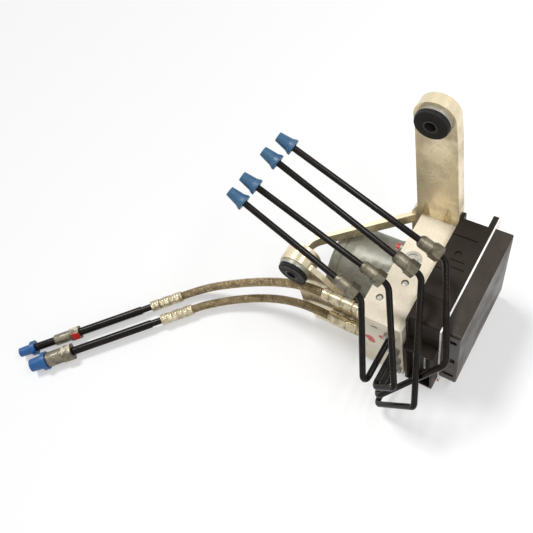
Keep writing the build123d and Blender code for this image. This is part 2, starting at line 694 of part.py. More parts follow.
with BuildPart() as ecu_seal:
    with BuildSketch(facing_cover(0)):
        with Locations((block_length / 2 + unit_front / 2, -block_height / 2)):
            Rectangle(seal_length, seal_height)
            Rectangle(seal_length - 2 * seal_width, seal_height - 2 * seal_width, mode=Mode.SUBTRACT)
    extrude(amount=seal_depth)

with BuildPart() as ecu_screws:
    for y, z in unit_screw_places:
        seat = Plane(origin=spot(unit_depth - screw_head_height, y, z), z_dir=(1, 0, 0))
        with BuildSketch(seat):
            Circle(screw_head_radius)
        extrude(amount=screw_head_height)
        with BuildSketch(seat):
            Circle(unit_screw_radius)
        extrude(amount=-(unit_screw_length - screw_head_height - seat_gap))

# Aluminium plate between housing and cover, with the tab at the back and a slot for the pins
pin_y = unit_front + unit_wall + pin_gap + pin_width / 2
plate_face = facing_cover(unit_depth)
with BuildPart() as ecu_plate:
    with BuildSketch(plate_face):
        with Locations(((plate_front + plate_back) / 2, unit_middle[1])):
            Rectangle(plate_back - plate_front, unit_height)
        with Locations(((plate_back + tab_back) / 2, unit_top - tab_height / 2)):
            Rectangle(tab_back - plate_back, tab_height)
        with Locations((plate_front + tip_width / 2, -block_height - tip_length / 2)):
            Rectangle(tip_width, tip_length)
    extrude(amount=plate_thickness)
    with BuildSketch(plate_face):
        with Locations((pin_y, (pin_z[0] + pin_z[-1] - pin_stagger) / 2)):
            Rectangle(pin_width + 2 * pin_gap, pin_z[0] - pin_z[-1] + pin_stagger + 2 * pin_width)
    extrude(amount=plate_thickness, mode=Mode.SUBTRACT)

# Cover: moulded tray with rounded edges and ribbed front
cover_face = facing_cover(unit_depth + plate_thickness)
cover_middle = ((unit_front + cover_back) / 2, (unit_top + cover_bottom) / 2)
with BuildPart() as ecu_cover:
    with BuildSketch(cover_face):
        with Locations(cover_middle):
            RectangleRounded(cover_back - unit_front, unit_top - cover_bottom, cover_round)
    extrude(amount=cover_depth)
    fillet(ecu_cover.faces().sort_by(Axis.X)[-1].edges(), cover_round / 2)
    with BuildSketch(cover_face):
        with Locations(cover_middle):
            Rectangle(cover_back - unit_front - 2 * cover_wall, unit_top - cover_bottom - 2 * cover_wall)
    extrude(amount=cover_depth - cover_wall, mode=Mode.SUBTRACT)
    notch_middle = unit_depth + plate_thickness + cover_depth / 2
    with BuildSketch(facing_front(unit_front)):
        for z, height in cover_notches:
            with Locations((notch_middle, z)):
                RectangleRounded(cover_depth - 2 * notch_inset, height, notch_depth)
    extrude(amount=-notch_depth, mode=Mode.SUBTRACT)

# Circuit board on the plate, its parts, and the connector's pins
board_front, board_back = unit_front + cover_wall + board_gap, cover_back - cover_wall - board_gap
board_top, board_bottom = unit_top - cover_wall - board_gap, cover_bottom + cover_wall + board_gap
with BuildPart() as circuit_board:
    with BuildSketch(cover_face):
        with Locations(((board_front + board_back) / 2, (board_top + board_bottom) / 2)):
            Rectangle(board_back - board_front, board_top - board_bottom)
    extrude(amount=board_thickness)

board_face = cover_face.offset(board_thickness)
with BuildPart() as board_chips:
    for y, z, width, height in board_places:
        with BuildSketch(board_face):
            with Locations((y, z)):
                Rectangle(width, height)
        extrude(amount=chip_height)
    with BuildSketch(board_face):
        with Locations(*capacitor_places):
            Circle(capacitor_radius)
    extrude(amount=capacitor_height)

with BuildPart() as connector_pins:
    for column, x in enumerate(pin_columns):
        for z in pin_z:
            with BuildSketch(level(z - column * pin_stagger - pin_width / 2)):
                with BuildLine():
                    Polyline((x, plug_front + plug_floor), (x, pin_y + pin_width / 2),
                             (unit_depth + plate_thickness, pin_y + pin_width / 2),
                             (unit_depth + plate_thickness, pin_y - pin_width / 2),
                             (x + pin_width, pin_y - pin_width / 2),
                             (x + pin_width, plug_front + plug_floor), close=True)
                make_face()
            extrude(amount=pin_width)

# Bracket: leaning arm with its edges folded back, back wall, floor, front wall, eye and strap
base_z = -block_height - floor_thickness
lug_front = upper_bush_y - sleeve_length / 2 + sleeve_proud + bush_disc + washer_thickness
eye_front = front_wall_y
arm_side = [(block_length, base_z), (block_length, arm_bend_z),
            (lug_front, upper_bush_z - lug_radius), (lug_front, upper_bush_z + lug_radius)]


def arm_piece(depth, edge=0.0):
    # The arm's side outline cut to its front outline; an edge width keeps only the rim of it
    with BuildPart() as piece:
        with BuildSketch(facing_cover(arm_left)):
            with BuildLine():
                Polyline(*arm_side, *[(y + depth, z) for y, z in reversed(arm_side)], close=True)
            make_face()
        extrude(amount=arm_right - arm_left)
        with BuildSketch(facing_front(block_length)) as outline:
            with BuildLine():
                Polyline((back_left, base_z), (arm_right, base_z), (arm_right, arm_bend_z),
                         (arm_shoulder_x, arm_shoulder_z),
                         (upper_bush_x + lug_radius, upper_bush_z), (upper_bush_x - lug_radius, upper_bush_z),
                         (arm_foot, arm_bend_z), (back_left, 0), close=True)
            make_face()
            with Locations((upper_bush_x, upper_bush_z)):
                Circle(lug_radius)
            if edge:
                offset(amount=-edge, mode=Mode.SUBTRACT)
        extrude(amount=-(lug_front - block_length + depth), mode=Mode.INTERSECT)
    return piece.part


with BuildPart() as bracket:
    add(arm_piece(arm_thickness))
    add(arm_piece(arm_flange_depth, arm_flange))
    with BuildSketch(level(base_z)):
        with BuildLine():
            Polyline((floor_left, front_wall_y), (arm_right, front_wall_y),
                     (arm_right, block_length + arm_thickness),
                     (floor_left + floor_corner, block_length + arm_thickness),
                     (floor_left, block_length + arm_thickness - floor_corner), close=True)
        make_face()
    extrude(amount=floor_thickness)
    with BuildSketch(facing_front(front_wall_y)) as front_wall:
        with BuildLine():
            Polyline((-block_thick, base_z), (-block_thick, front_step),
                     (front_step_x, front_step + front_shoulder_step), (front_shoulder_x, front_shoulder),
                     (front_shoulder_x - front_shoulder_run, -lower_bush_z),
                     (lower_bush_x, lower_bush_z), (front_left, front_drop),
                     (front_left, front_foot), (floor_left, base_z), close=True)
        make_face()
        fillet(front_wall.vertices().filter_by(lambda v: v.Z > base_z), front_round)
    extrude(amount=-wall)
    with BuildSketch(facing_front(front_wall_y)):
        with Locations((lower_bush_x, lower_bush_z)):
            Circle(eye_radius)
    extrude(amount=-(eye_length + eye_floor))
    with BuildSketch(level(strap_top)):
        with BuildLine():
            FilletPolyline(*strap_corners, radius=strap_bend)
            offset(amount=strap_thickness, side=Side.RIGHT)
        make_face()
    extrude(amount=-strap_height)
    with BuildSketch(facing_front(front_wall_y)):
        with Locations((lower_bush_x, lower_bush_z)):
            Circle(bush_neck_radius + fit)
    extrude(amount=-eye_length, mode=Mode.SUBTRACT)
    with BuildSketch(facing_front(lug_front)):
        with Locations((upper_bush_x, upper_bush_z)):
            Circle(bush_neck_radius + fit)
    extrude(amount=-arm_flange_depth, mode=Mode.SUBTRACT)
    with BuildSketch(facing_front(block_length)):
        for x in dart_places:
            with Locations((x, 0)):
                Trapezoid(dart_width, dart_height, dart_angle, align=(Align.CENTER, Align.MIN))
    extrude(amount=-dart_depth, mode=Mode.SUBTRACT)
    with BuildSketch(facing_front(block_length)):
        with Locations(*back_bolt_places):
            Circle(bracket_bolt_radius + fit)
    extrude(amount=-arm_thickness, mode=Mode.SUBTRACT)
    for x, y in floor_bolt_places:
        with BuildSketch(level(base_z)):
            with Locations((x, y)):
                Circle(bracket_bolt_radius + floor_thickness / 2 + fit)
        with BuildSketch(level(base_z + floor_thickness)):
            with Locations((x, y)):
                Circle(bracket_bolt_radius + fit)
        loft(mode=Mode.SUBTRACT)

with BuildPart() as bracket_bolts:
    for x, z in back_bolt_places:
        seat = Plane(origin=spot(x, block_length + arm_thickness, z), z_dir=(0, 1, 0))
        with BuildSketch(seat):
            RegularPolygon(bolt_flat / 2, 6, major_radius=False)
        extrude(amount=bolt_head)
        with BuildSketch(seat):
            Circle(bracket_bolt_radius)
        extrude(amount=-(bracket_bolt_length - seat_gap))
    for x, y in floor_bolt_places:
        add(lathe(Plane(origin=spot(x, y, base_z)),
                  [(0, 0), (bracket_bolt_radius + floor_thickness / 2, 0),
                   (bracket_bolt_radius, floor_thickness),
                   (bracket_bolt_radius, floor_bolt_length - seat_gap),
                   (0, floor_bolt_length - seat_gap)]))

# Rubber bushes, each with its washer and steel sleeve
upper_seat = Plane(origin=spot(upper_bush_x, lug_front - washer_thickness - bush_disc, upper_bush_z),
                   z_dir=(0, 1, 0))
lower_seat = Plane(origin=spot(lower_bush_x, front_wall_y - washer_thickness - bush_disc, lower_bush_z),
                   z_dir=(0, 1, 0))
with BuildPart() as upper_bush:
    add(turned(upper_seat, [(bush_disc_radius, bush_disc),
                            (bush_neck_radius, washer_thickness + arm_thickness),
                            (lug_radius - arm_flange - fit, rear_flange)], sleeve_radius + fit))
    fillet(upper_bush.edges().group_by(Axis.Y)[0].sort_by(SortBy.RADIUS)[-1], bush_round)

with BuildPart() as lower_bush:
    add(turned(lower_seat, [(bush_disc_radius, bush_disc),
                            (bush_neck_radius, washer_thickness + eye_length - seat_gap)],
               sleeve_radius + fit))
    fillet(lower_bush.edges().group_by(Axis.Y)[0].sort_by(SortBy.RADIUS)[-1], bush_round)

with BuildPart() as bush_washers:
    for seat in (upper_seat, lower_seat):
        add(turned(seat.offset(bush_disc), [(washer_radius, washer_thickness)], bush_neck_radius + fit))

with BuildPart() as bush_sleeves:
    for seat in (upper_seat, lower_seat):
        add(turned(seat.offset(-sleeve_proud), [(sleeve_radius, sleeve_length)], sleeve_bore))

# Brake pipes with their nuts and caps
cap_floor = cap_length - cap_depth
pipes, block_nuts, tube_nuts, caps = [], [], [], []
for points, bends, place, reach in zip(pipe_points, pipe_bends, port_places, pipe_reach):
    tip, knee = spot(*points[0]), spot(*points[1])
    toward_tip = along(knee, tip)
    cap_seat = along(tip, knee)
    port_x, port_z = place
    route = [tip + cap_seat.z_dir * (cap_floor + fit)] + [spot(*point) for point in points[1:]]
    route += [spot(port_x, reach, port_z), spot(port_x, port_depth - port_floor, port_z)]
    pipe_end = Plane(origin=route[-1], z_dir=(0, -1, 0))
    turn = radians((route[1] - route[0]).get_angle(route[2] - route[1]))
    nut_start = bends[0] * tan(turn / 2) + nut_from_bend
    with BuildPart() as pipe:
        add(tube(route, bends, pipe_radius))
        add(turned(along(route[0], knee), [(flare_radius, flare_length)]))
        add(turned(pipe_end, [(flare_radius, flare_length)]))
    pipes.append(pipe.part)
    with BuildPart() as nut:
        with BuildSketch(toward_tip.offset(nut_start)):
            RegularPolygon(hex_flat / 2, 6, major_radius=False)
        extrude(amount=nut_hex)
        add(lathe(toward_tip.offset(nut_start + nut_hex),
                  [(0, 0), (hex_flat / 2, 0), (hex_flat / 2, nut_collar),
                   (nut_thread_radius, nut_collar), (nut_thread_radius, nut_collar + nut_thread),
                   (pipe_radius + 1, nut_collar + nut_thread + nut_nose),
                   (0, nut_collar + nut_thread + nut_nose)]))
        with BuildSketch(toward_tip.offset(nut_start)):
            Circle(pipe_radius + running_gap)
        extrude(amount=nut_hex + nut_collar + nut_thread + nut_nose, mode=Mode.SUBTRACT)
    tube_nuts.append(nut.part)
    nut_length = nut_hex + nut_collar + nut_thread + nut_nose
    travel = (tip - knee).length - nut_start - nut_length - cap_length - nut_from_bend
    print("tube nut travel", round(travel, 1), "along", [round(v, 4) for v in toward_tip.z_dir])
    caps.append(lathe(cap_seat, [(0, 0), (cap_tip_radius, 0),
                                 (cap_neck_radius, cap_length - cap_skirt - cap_flare),
                                 (cap_skirt_radius, cap_length - cap_skirt), (cap_skirt_radius, cap_length),
                                 (flare_radius + fit, cap_length), (flare_radius + fit, cap_floor),
                                 (0, cap_floor)]))
    with BuildPart() as port_nut:
        with BuildSketch(Plane(origin=spot(port_x, 0, port_z), z_dir=(0, -1, 0))):
            RegularPolygon(port_hex_flat / 2, 6, major_radius=False)
        extrude(amount=port_hex_height)
        with BuildSketch(facing_front(0)):
            with Locations((port_x, port_z)):
                Circle(port_radius - fit)
        extrude(amount=-(port_depth - port_floor - flare_length - fit))
        with BuildSketch(facing_front(-port_hex_height)):
            with Locations((port_x, port_z)):
                Circle(pipe_radius + fit)
        extrude(amount=-(port_hex_height + port_depth), mode=Mode.SUBTRACT)
    block_nuts.append(port_nut.part)

# Hoses: braided tube from the block's union to the end ferrule
union_length = union_collar + union_neck + ferrule_length
hoses, ends = [], []
hose_heading = Vector(cos(radians(end_heading)), sin(radians(end_heading)), 0)
hose_start = -block_thick - union_length
for hose_z, first_run, points, end in (
        (upper_hose_z, upper_first_run, upper_hose_points, upper_hose_end),
        (lower_hose_z, lower_first_run, lower_hose_points, lower_hose_end)):
    route = [spot(hose_start, hose_y, hose_z), spot(hose_start - first_run, hose_y, hose_z)]
    route += [spot(*point) for point in points]
    route += [spot(*end) - hose_heading * last_run, spot(*end)]
    radii = []
    for before, here, after in zip(route, route[1:], route[2:]):
        shorter = min((here - before).length, (after - here).length)
        turn = radians((here - before).get_angle(after - here))
        radii.append(bend_share * shorter / tan(turn / 2))
    hose = tube(route, radii, hose_radius)
    with BuildLine() as check:
        FilletPolyline(*route, radius=radii)
    length = sum(edge.length for edge in check.line.edges())
    print("hose radii", [round(r) for r in radii], "length", round(length, 1),
          "volume against section times length", round(hose.volume / (pi * hose_radius ** 2 * length), 4))
    hoses.append(hose)
    ends.append(Plane(origin=route[-1], z_dir=hose_heading))
    print("hose points", [tuple(round(v, 2) for v in point) for point in route])


def ferrule(length):
    # Crimped shell: three bands with a pressed groove between each two
    groove = ferrule_radius - ferrule_groove
    band = (length - 2 * crimp_width) / 3
    return [(ferrule_radius, band), (groove, crimp_width), (ferrule_radius, band),
            (groove, crimp_width), (ferrule_radius, band)]


with BuildPart() as hose_unions:
    for hose_z in (upper_hose_z, lower_hose_z):
        seat = Plane(origin=spot(-block_thick, hose_y, hose_z), z_dir=(-1, 0, 0))
        add(turned(seat.offset(-(hose_port_depth - seat_gap)),
                   [(hose_port_radius - fit, hose_port_depth - seat_gap)]))
        with BuildSketch(seat):
            RegularPolygon(union_flat / 2, 6, major_radius=False)
        extrude(amount=union_collar)
        add(turned(seat.offset(union_collar), [(union_neck_radius, union_neck)]
                   + ferrule(ferrule_length)))

end_ferrules, end_pipes, end_nuts, end_caps = [], [], [], []
for seat, sizes in zip(ends, (upper_end, lower_end)):
    end_ferrules.append(turned(seat, ferrule(end_ferrule_length)))
    neck = seat.offset(end_ferrule_length)
    pipe_length = sizes["cap"] + end_cap_depth - end_ferrule_length - end_neck_length
    end_pipes.append(turned(neck, [(end_neck_radius, end_neck_length), (end_pipe_radius, pipe_length - fit)]))
    nut_seat = seat.offset(sizes["nut"])
    with BuildPart() as end_nut:
        with BuildSketch(nut_seat):
            RegularPolygon(sizes["flat"] / 2, 6, major_radius=False)
        extrude(amount=end_hex)
        with BuildSketch(nut_seat.offset(end_hex)):
            Circle(sizes["thread"])
        extrude(amount=end_thread)
        with BuildSketch(nut_seat):
            Circle(end_pipe_radius + running_gap)
        extrude(amount=end_hex + end_thread, mode=Mode.SUBTRACT)
    end_nuts.append(end_nut.part)
    radius = sizes["cap_radius"]
    end_caps.append(lathe(seat.offset(sizes["cap"]),
                          [(end_pipe_radius + fit, 0), (radius, 0), (radius, end_cap_length / 4),
                           (radius - end_cap_taper, end_cap_length / 3),
                           (radius - end_cap_taper - end_cap_draft, end_cap_length), (0, end_cap_length),
                           (0, end_cap_depth), (end_pipe_radius + fit, end_cap_depth)]))

with BuildPart() as pipe_caps:
    for cap in caps:
        add(cap)

with BuildPart() as port_nuts:
    for nut in block_nuts:
        add(nut)

brake_pipe_1, brake_pipe_2, brake_pipe_3, brake_pipe_4 = pipes
tube_nut_1, tube_nut_2, tube_nut_3, tube_nut_4 = tube_nuts
upper_hose, lower_hose = hoses
upper_end_ferrule, lower_end_ferrule = end_ferrules
upper_end_pipe, lower_end_pipe = end_pipes
upper_end_nut, lower_end_nut = end_nuts
upper_end_cap, lower_end_cap = end_caps

# Write each piece to its own file
os.makedirs("parts", exist_ok=True)
valve_block.part.label = "valve_block"
export_step(valve_block.part, "parts/valve_block.step")
motor_can.part.label = "motor_can"
export_step(motor_can.part, "parts/motor_can.step")
motor_screws.part.label = "motor_screws"
export_step(motor_screws.part, "parts/motor_screws.step")
motor_end_plate.part.label = "motor_end_plate"
export_step(motor_end_plate.part, "parts/motor_end_plate.step")
motor_bearings.part.label = "motor_bearings"
export_step(motor_bearings.part, "parts/motor_bearings.step")
motor_shaft.part.label = "motor_shaft"
export_step(motor_shaft.part, "parts/motor_shaft.step")
eccentric_bearing.part.label = "eccentric_bearing"
export_step(eccentric_bearing.part, "parts/eccentric_bearing.step")
armature.part.label = "armature"
export_step(armature.part, "parts/armature.step")
armature_windings.part.label = "armature_windings"
export_step(armature_windings.part, "parts/armature_windings.step")
commutator.part.label = "commutator"
export_step(commutator.part, "parts/commutator.step")
motor_magnets.part.label = "motor_magnets"
export_step(motor_magnets.part, "parts/motor_magnets.step")
brush_holder.part.label = "brush_holder"
export_step(brush_holder.part, "parts/brush_holder.step")
motor_brushes.part.label = "motor_brushes"
export_step(motor_brushes.part, "parts/motor_brushes.step")
pump_pistons.part.label = "pump_pistons"
export_step(pump_pistons.part, "parts/pump_pistons.step")
pump_springs.part.label = "pump_springs"
export_step(pump_springs.part, "parts/pump_springs.step")
pump_plugs.part.label = "pump_plugs"
export_step(pump_plugs.part, "parts/pump_plugs.step")
ball_plugs.part.label = "ball_plugs"
export_step(ball_plugs.part, "parts/ball_plugs.step")
accumulator_covers.part.label = "accumulator_covers"
export_step(accumulator_covers.part, "parts/accumulator_covers.step")
inlet_valves.part.label = "inlet_valves"
export_step(inlet_valves.part, "parts/inlet_valves.step")
outlet_valves.part.label = "outlet_valves"
export_step(outlet_valves.part, "parts/outlet_valves.step")
valve_coils.part.label = "valve_coils"
export_step(valve_coils.part, "parts/valve_coils.step")
ecu_housing.part.label = "ecu_housing"
export_step(ecu_housing.part, "parts/ecu_housing.step")
ecu_seal.part.label = "ecu_seal"
export_step(ecu_seal.part, "parts/ecu_seal.step")
ecu_screws.part.label = "ecu_screws"
export_step(ecu_screws.part, "parts/ecu_screws.step")
ecu_plate.part.label = "ecu_plate"
export_step(ecu_plate.part, "parts/ecu_plate.step")
ecu_cover.part.label = "ecu_cover"
export_step(ecu_cover.part, "parts/ecu_cover.step")
circuit_board.part.label = "circuit_board"
export_step(circuit_board.part, "parts/circuit_board.step")
board_chips.part.label = "board_chips"
export_step(board_chips.part, "parts/board_chips.step")
connector_pins.part.label = "connector_pins"
export_step(connector_pins.part, "parts/connector_pins.step")
bracket.part.label = "bracket"
export_step(bracket.part, "parts/bracket.step")
bracket_bolts.part.label = "bracket_bolts"
export_step(bracket_bolts.part, "parts/bracket_bolts.step")
upper_bush.part.label = "upper_bush"
export_step(upper_bush.part, "parts/upper_bush.step")
lower_bush.part.label = "lower_bush"
export_step(lower_bush.part, "parts/lower_bush.step")
bush_washers.part.label = "bush_washers"
export_step(bush_washers.part, "parts/bush_washers.step")
bush_sleeves.part.label = "bush_sleeves"
export_step(bush_sleeves.part, "parts/bush_sleeves.step")
hose_unions.part.label = "hose_unions"
export_step(hose_unions.part, "parts/hose_unions.step")
pipe_caps.part.label = "pipe_caps"
export_step(pipe_caps.part, "parts/pipe_caps.step")
port_nuts.part.label = "port_nuts"
export_step(port_nuts.part, "parts/port_nuts.step")
upper_accumulator_piston.label = "upper_accumulator_piston"
export_step(upper_accumulator_piston, "parts/upper_accumulator_piston.step")
lower_accumulator_piston.label = "lower_accumulator_piston"
export_step(lower_accumulator_piston, "parts/lower_accumulator_piston.step")
upper_accumulator_spring.label = "upper_accumulator_spring"
export_step(upper_accumulator_spring, "parts/upper_accumulator_spring.step")
lower_accumulator_spring.label = "lower_accumulator_spring"
export_step(lower_accumulator_spring, "parts/lower_accumulator_spring.step")
brake_pipe_1.label = "brake_pipe_1"
export_step(brake_pipe_1, "parts/brake_pipe_1.step")
brake_pipe_2.label = "brake_pipe_2"
export_step(brake_pipe_2, "parts/brake_pipe_2.step")
brake_pipe_3.label = "brake_pipe_3"
export_step(brake_pipe_3, "parts/brake_pipe_3.step")
brake_pipe_4.label = "brake_pipe_4"
export_step(brake_pipe_4, "parts/brake_pipe_4.step")
tube_nut_1.label = "tube_nut_1"
export_step(tube_nut_1, "parts/tube_nut_1.step")
tube_nut_2.label = "tube_nut_2"
export_step(tube_nut_2, "parts/tube_nut_2.step")
tube_nut_3.label = "tube_nut_3"
export_step(tube_nut_3, "parts/tube_nut_3.step")
tube_nut_4.label = "tube_nut_4"
export_step(tube_nut_4, "parts/tube_nut_4.step")
upper_hose.label = "upper_hose"
export_step(upper_hose, "parts/upper_hose.step")
upper_end_ferrule.label = "upper_end_ferrule"
export_step(upper_end_ferrule, "parts/upper_end_ferrule.step")
upper_end_pipe.label = "upper_end_pipe"
export_step(upper_end_pipe, "parts/upper_end_pipe.step")
upper_end_nut.label = "upper_end_nut"
export_step(upper_end_nut, "parts/upper_end_nut.step")
upper_end_cap.label = "upper_end_cap"
export_step(upper_end_cap, "parts/upper_end_cap.step")
lower_hose.label = "lower_hose"
export_step(lower_hose, "parts/lower_hose.step")
lower_end_ferrule.label = "lower_end_ferrule"
export_step(lower_end_ferrule, "parts/lower_end_ferrule.step")
lower_end_pipe.label = "lower_end_pipe"
export_step(lower_end_pipe, "parts/lower_end_pipe.step")
lower_end_nut.label = "lower_end_nut"
export_step(lower_end_nut, "parts/lower_end_nut.step")
lower_end_cap.label = "lower_end_cap"
export_step(lower_end_cap, "parts/lower_end_cap.step")
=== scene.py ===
# %% [markdown]
# # A car's ABS unit, dressed in Blender
# The solids come from the CAD model: a valve block between a pump motor and a control unit,
# on a pressed bracket, with four capped brake pipes and two braided hoses.
# The script keeps those solids where they are and gives each one the finish of the real thing.
# Loading the frame first means that every later measure can be read from it.

# %% Load the frame
import json
import math

import bmesh
import bpy
from mathutils import Matrix, Vector

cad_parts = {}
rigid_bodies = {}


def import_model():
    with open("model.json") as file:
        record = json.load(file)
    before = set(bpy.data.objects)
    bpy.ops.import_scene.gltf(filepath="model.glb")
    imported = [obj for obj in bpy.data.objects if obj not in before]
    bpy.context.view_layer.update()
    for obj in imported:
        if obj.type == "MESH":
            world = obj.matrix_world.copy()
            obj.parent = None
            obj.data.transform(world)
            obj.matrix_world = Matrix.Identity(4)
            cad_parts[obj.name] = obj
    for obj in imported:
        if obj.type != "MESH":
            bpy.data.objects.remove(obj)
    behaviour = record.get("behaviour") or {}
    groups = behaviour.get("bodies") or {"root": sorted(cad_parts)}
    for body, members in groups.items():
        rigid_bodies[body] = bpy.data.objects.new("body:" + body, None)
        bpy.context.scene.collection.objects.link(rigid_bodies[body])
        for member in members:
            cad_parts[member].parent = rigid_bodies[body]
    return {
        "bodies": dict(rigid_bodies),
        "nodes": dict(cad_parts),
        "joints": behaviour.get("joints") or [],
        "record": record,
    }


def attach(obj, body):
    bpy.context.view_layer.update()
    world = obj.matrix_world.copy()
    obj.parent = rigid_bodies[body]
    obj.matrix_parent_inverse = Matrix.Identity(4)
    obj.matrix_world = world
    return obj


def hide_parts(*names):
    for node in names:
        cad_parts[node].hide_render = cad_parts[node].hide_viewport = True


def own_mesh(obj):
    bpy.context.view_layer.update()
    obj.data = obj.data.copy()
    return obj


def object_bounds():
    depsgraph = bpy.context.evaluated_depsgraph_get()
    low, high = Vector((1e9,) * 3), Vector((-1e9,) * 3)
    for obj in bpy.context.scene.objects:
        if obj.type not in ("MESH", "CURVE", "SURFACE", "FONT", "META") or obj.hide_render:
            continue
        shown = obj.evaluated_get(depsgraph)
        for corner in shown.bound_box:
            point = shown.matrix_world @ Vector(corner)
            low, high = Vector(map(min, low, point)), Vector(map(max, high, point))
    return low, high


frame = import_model()
nodes = frame["nodes"]
cad_box = [list(corner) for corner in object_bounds()]
floor_height = cad_box[0][2]
print(len(nodes), "nodes, floor at", round(floor_height, 4))

# %% [markdown]
# ## Where the photograph was taken from
# A camera is placed by its three directions: right, up and back.
# They were found from the edges of the valve block, whose three directions are square to each other.
# The lens follows from the same lines, so the render can be laid over the photograph.

# %% Camera
camera_place = Vector((0.1250, -0.2926, 0.3449))
camera_right = Vector((0.8305, 0.5196, -0.2006))
camera_back = Vector((0.4165, -0.3404, 0.8430))
camera_up = camera_back.cross(camera_right)
turn = Matrix((camera_right, camera_up, camera_back)).transposed().to_4x4()
lens = bpy.data.cameras.new("photo_camera")
lens.lens = 43.2
lens.sensor_width = 36.0
lens.clip_start = 0.01
camera = bpy.data.objects.new("photo_camera", lens)
camera.matrix_world = Matrix.Translation(camera_place) @ turn
bpy.context.collection.objects.link(camera)
bpy.context.scene.camera = camera
print("camera at", [round(v, 3) for v in camera.matrix_world.translation])

# %% [markdown]
# ## The hoses' routes
# Each hose leaves its union on the block, bends down and comes to lie on the table.
# A route is a short list of points, and a NURBS spline turns it into one smooth line.
# The spline's order is set after the points are added, because a new spline has too few of them
# for a higher order.

# %% Route points, in metres, from the unions to the end ferrules
upper_route = [(-0.0477, -0.1055, -0.1215), (-0.0537, -0.1055, -0.1215), (-0.0599, -0.1055, -0.1223),
               (-0.0659, -0.1055, -0.1239), (-0.0762, -0.1054, -0.1282), (-0.0879, -0.1054, -0.1352),
               (-0.1005, -0.1060, -0.1427), (-0.1134, -0.1074, -0.1505), (-0.1270, -0.1094, -0.1587),
               (-0.1407, -0.1122, -0.1668), (-0.1536, -0.1156, -0.1738), (-0.1660, -0.1197, -0.1801),
               (-0.1768, -0.1243, -0.1852), (-0.1856, -0.1299, -0.1882), (-0.19274, -0.13584, -0.1895),
               (-0.1988, -0.1425, -0.1895)]
lower_route = [(-0.0477, -0.1055, -0.1640), (-0.0567, -0.1055, -0.1640), (-0.0678, -0.1050, -0.1658),
               (-0.0783, -0.1048, -0.1685), (-0.0906, -0.1054, -0.1722), (-0.1044, -0.1075, -0.1763),
               (-0.1188, -0.1113, -0.1803), (-0.1329, -0.1168, -0.1835), (-0.1457, -0.1234, -0.1858),
               (-0.1565, -0.1301, -0.1873), (-0.1653, -0.1366, -0.1880), (-0.17364, -0.14344, -0.1883),
               (-0.1797, -0.1501, -0.1883)]


def smooth_line(name, points, detail=8):
    curve = bpy.data.curves.new(name, "CURVE")
    curve.dimensions = "3D"
    spline = curve.splines.new("NURBS")
    spline.points.add(len(points) - 1)
    for knot, place in zip(spline.points, points):
        knot.co = (*place, 1.0)
    spline.order_u = 3
    spline.use_endpoint_u = True
    spline.resolution_u = detail
    holder = bpy.data.objects.new(name, curve)
    mesh = bpy.data.meshes.new_from_object(holder)
    line = [vertex.co.copy() for vertex in mesh.vertices]
    bpy.data.objects.remove(holder)
    return line


def line_length(line):
    return sum((b - a).length for a, b in zip(line, line[1:]))


upper_line = smooth_line("upper_route", upper_route)
lower_line = smooth_line("lower_route", lower_route)
print("hose lengths", round(line_length(upper_line), 4), round(line_length(lower_line), 4))

# %% [markdown]
# ## A braid made of real strands
# The hose is covered with a braid: two sets of flat strands wind round it in opposite directions
# and pass over and under each other. A picture of a weave would look flat at the edges of the hose,
# so each strand is a shape of its own.
# First the hose's line gets a frame at every point, a matrix whose Z runs along the line.
# A frame only turns as far as the line turns, which keeps the strands from twisting.
# The strands follow a finer reading of the same smooth line, point by point.

# %% Frames along a line


def frames_along(line):
    heading = (line[1] - line[0]).normalized()
    turn = heading.to_track_quat("Z", "Y")
    frames = []
    for number, point in enumerate(line):
        ahead = (line[min(number + 1, len(line) - 1)] - line[max(number - 1, 0)]).normalized()
        turn = heading.rotation_difference(ahead) @ turn
        heading = ahead
        frames.append(Matrix.Translation(point) @ turn.to_matrix().to_4x4())
    return frames


print("frames on the upper hose:", len(frames_along(upper_line)))

# %% [markdown]
# A sweep starts from a small ring. The ring's edges are extruded once for each frame, and each new
# ring is carried from the last frame to the next one. Both ends are closed, so the strand is solid.
# The same sweep makes the hose's dark core and all of its strands.

# %% Sweep a ring through frames


def sweep_ring(frames, sides, profile):
    shape = bmesh.new()
    bmesh.ops.create_circle(shape, segments=sides, radius=1.0, cap_ends=True, matrix=frames[0] @ profile)
    edges = shape.edges[:]
    for before, after in zip(frames, frames[1:]):
        out = bmesh.ops.extrude_edge_only(shape, edges=edges)["geom"]
        fresh = [part for part in out if isinstance(part, bmesh.types.BMVert)]
        fresh_set = set(fresh)
        edges = [part for part in out if isinstance(part, bmesh.types.BMEdge)
                 and fresh_set.issuperset(part.verts)]
        bmesh.ops.transform(shape, verts=fresh, matrix=after @ before.inverted())
    bmesh.ops.contextual_create(shape, geom=edges)
    bmesh.ops.recalc_face_normals(shape, faces=shape.faces)
    for face in shape.faces:
        face.smooth = True
    return shape


def as_object(name, shapes):
    mesh = bpy.data.meshes.new(name)
    whole = bmesh.new()
    for shape in shapes:
        part = bpy.data.meshes.new("part")
        shape.to_mesh(part)
        shape.free()
        whole.from_mesh(part)
        bpy.data.meshes.remove(part)
    whole.to_mesh(mesh)
    whole.free()
    piece = bpy.data.objects.new(name, mesh)
    bpy.context.collection.objects.link(piece)
    print(name, len(mesh.polygons), "faces")
    return piece


# %% [markdown]
# Each strand follows the hose's line at a small distance and turns round it once in each lay length.
# It rises and sinks a little as it goes, so that it lies over one strand of the other set and under
# the next. The flat profile is turned by the helix's own angle, so that the strand keeps its width.

# %% Strands
strands_each_way = 9
lay_length = 0.016
strand_detail = 48
strand_sides = 4
strand_width, strand_thickness = 0.00092, 0.00052
strand_middle, strand_lift = 0.00360, 0.00016
core_radius = 0.00335
core_sides = 24


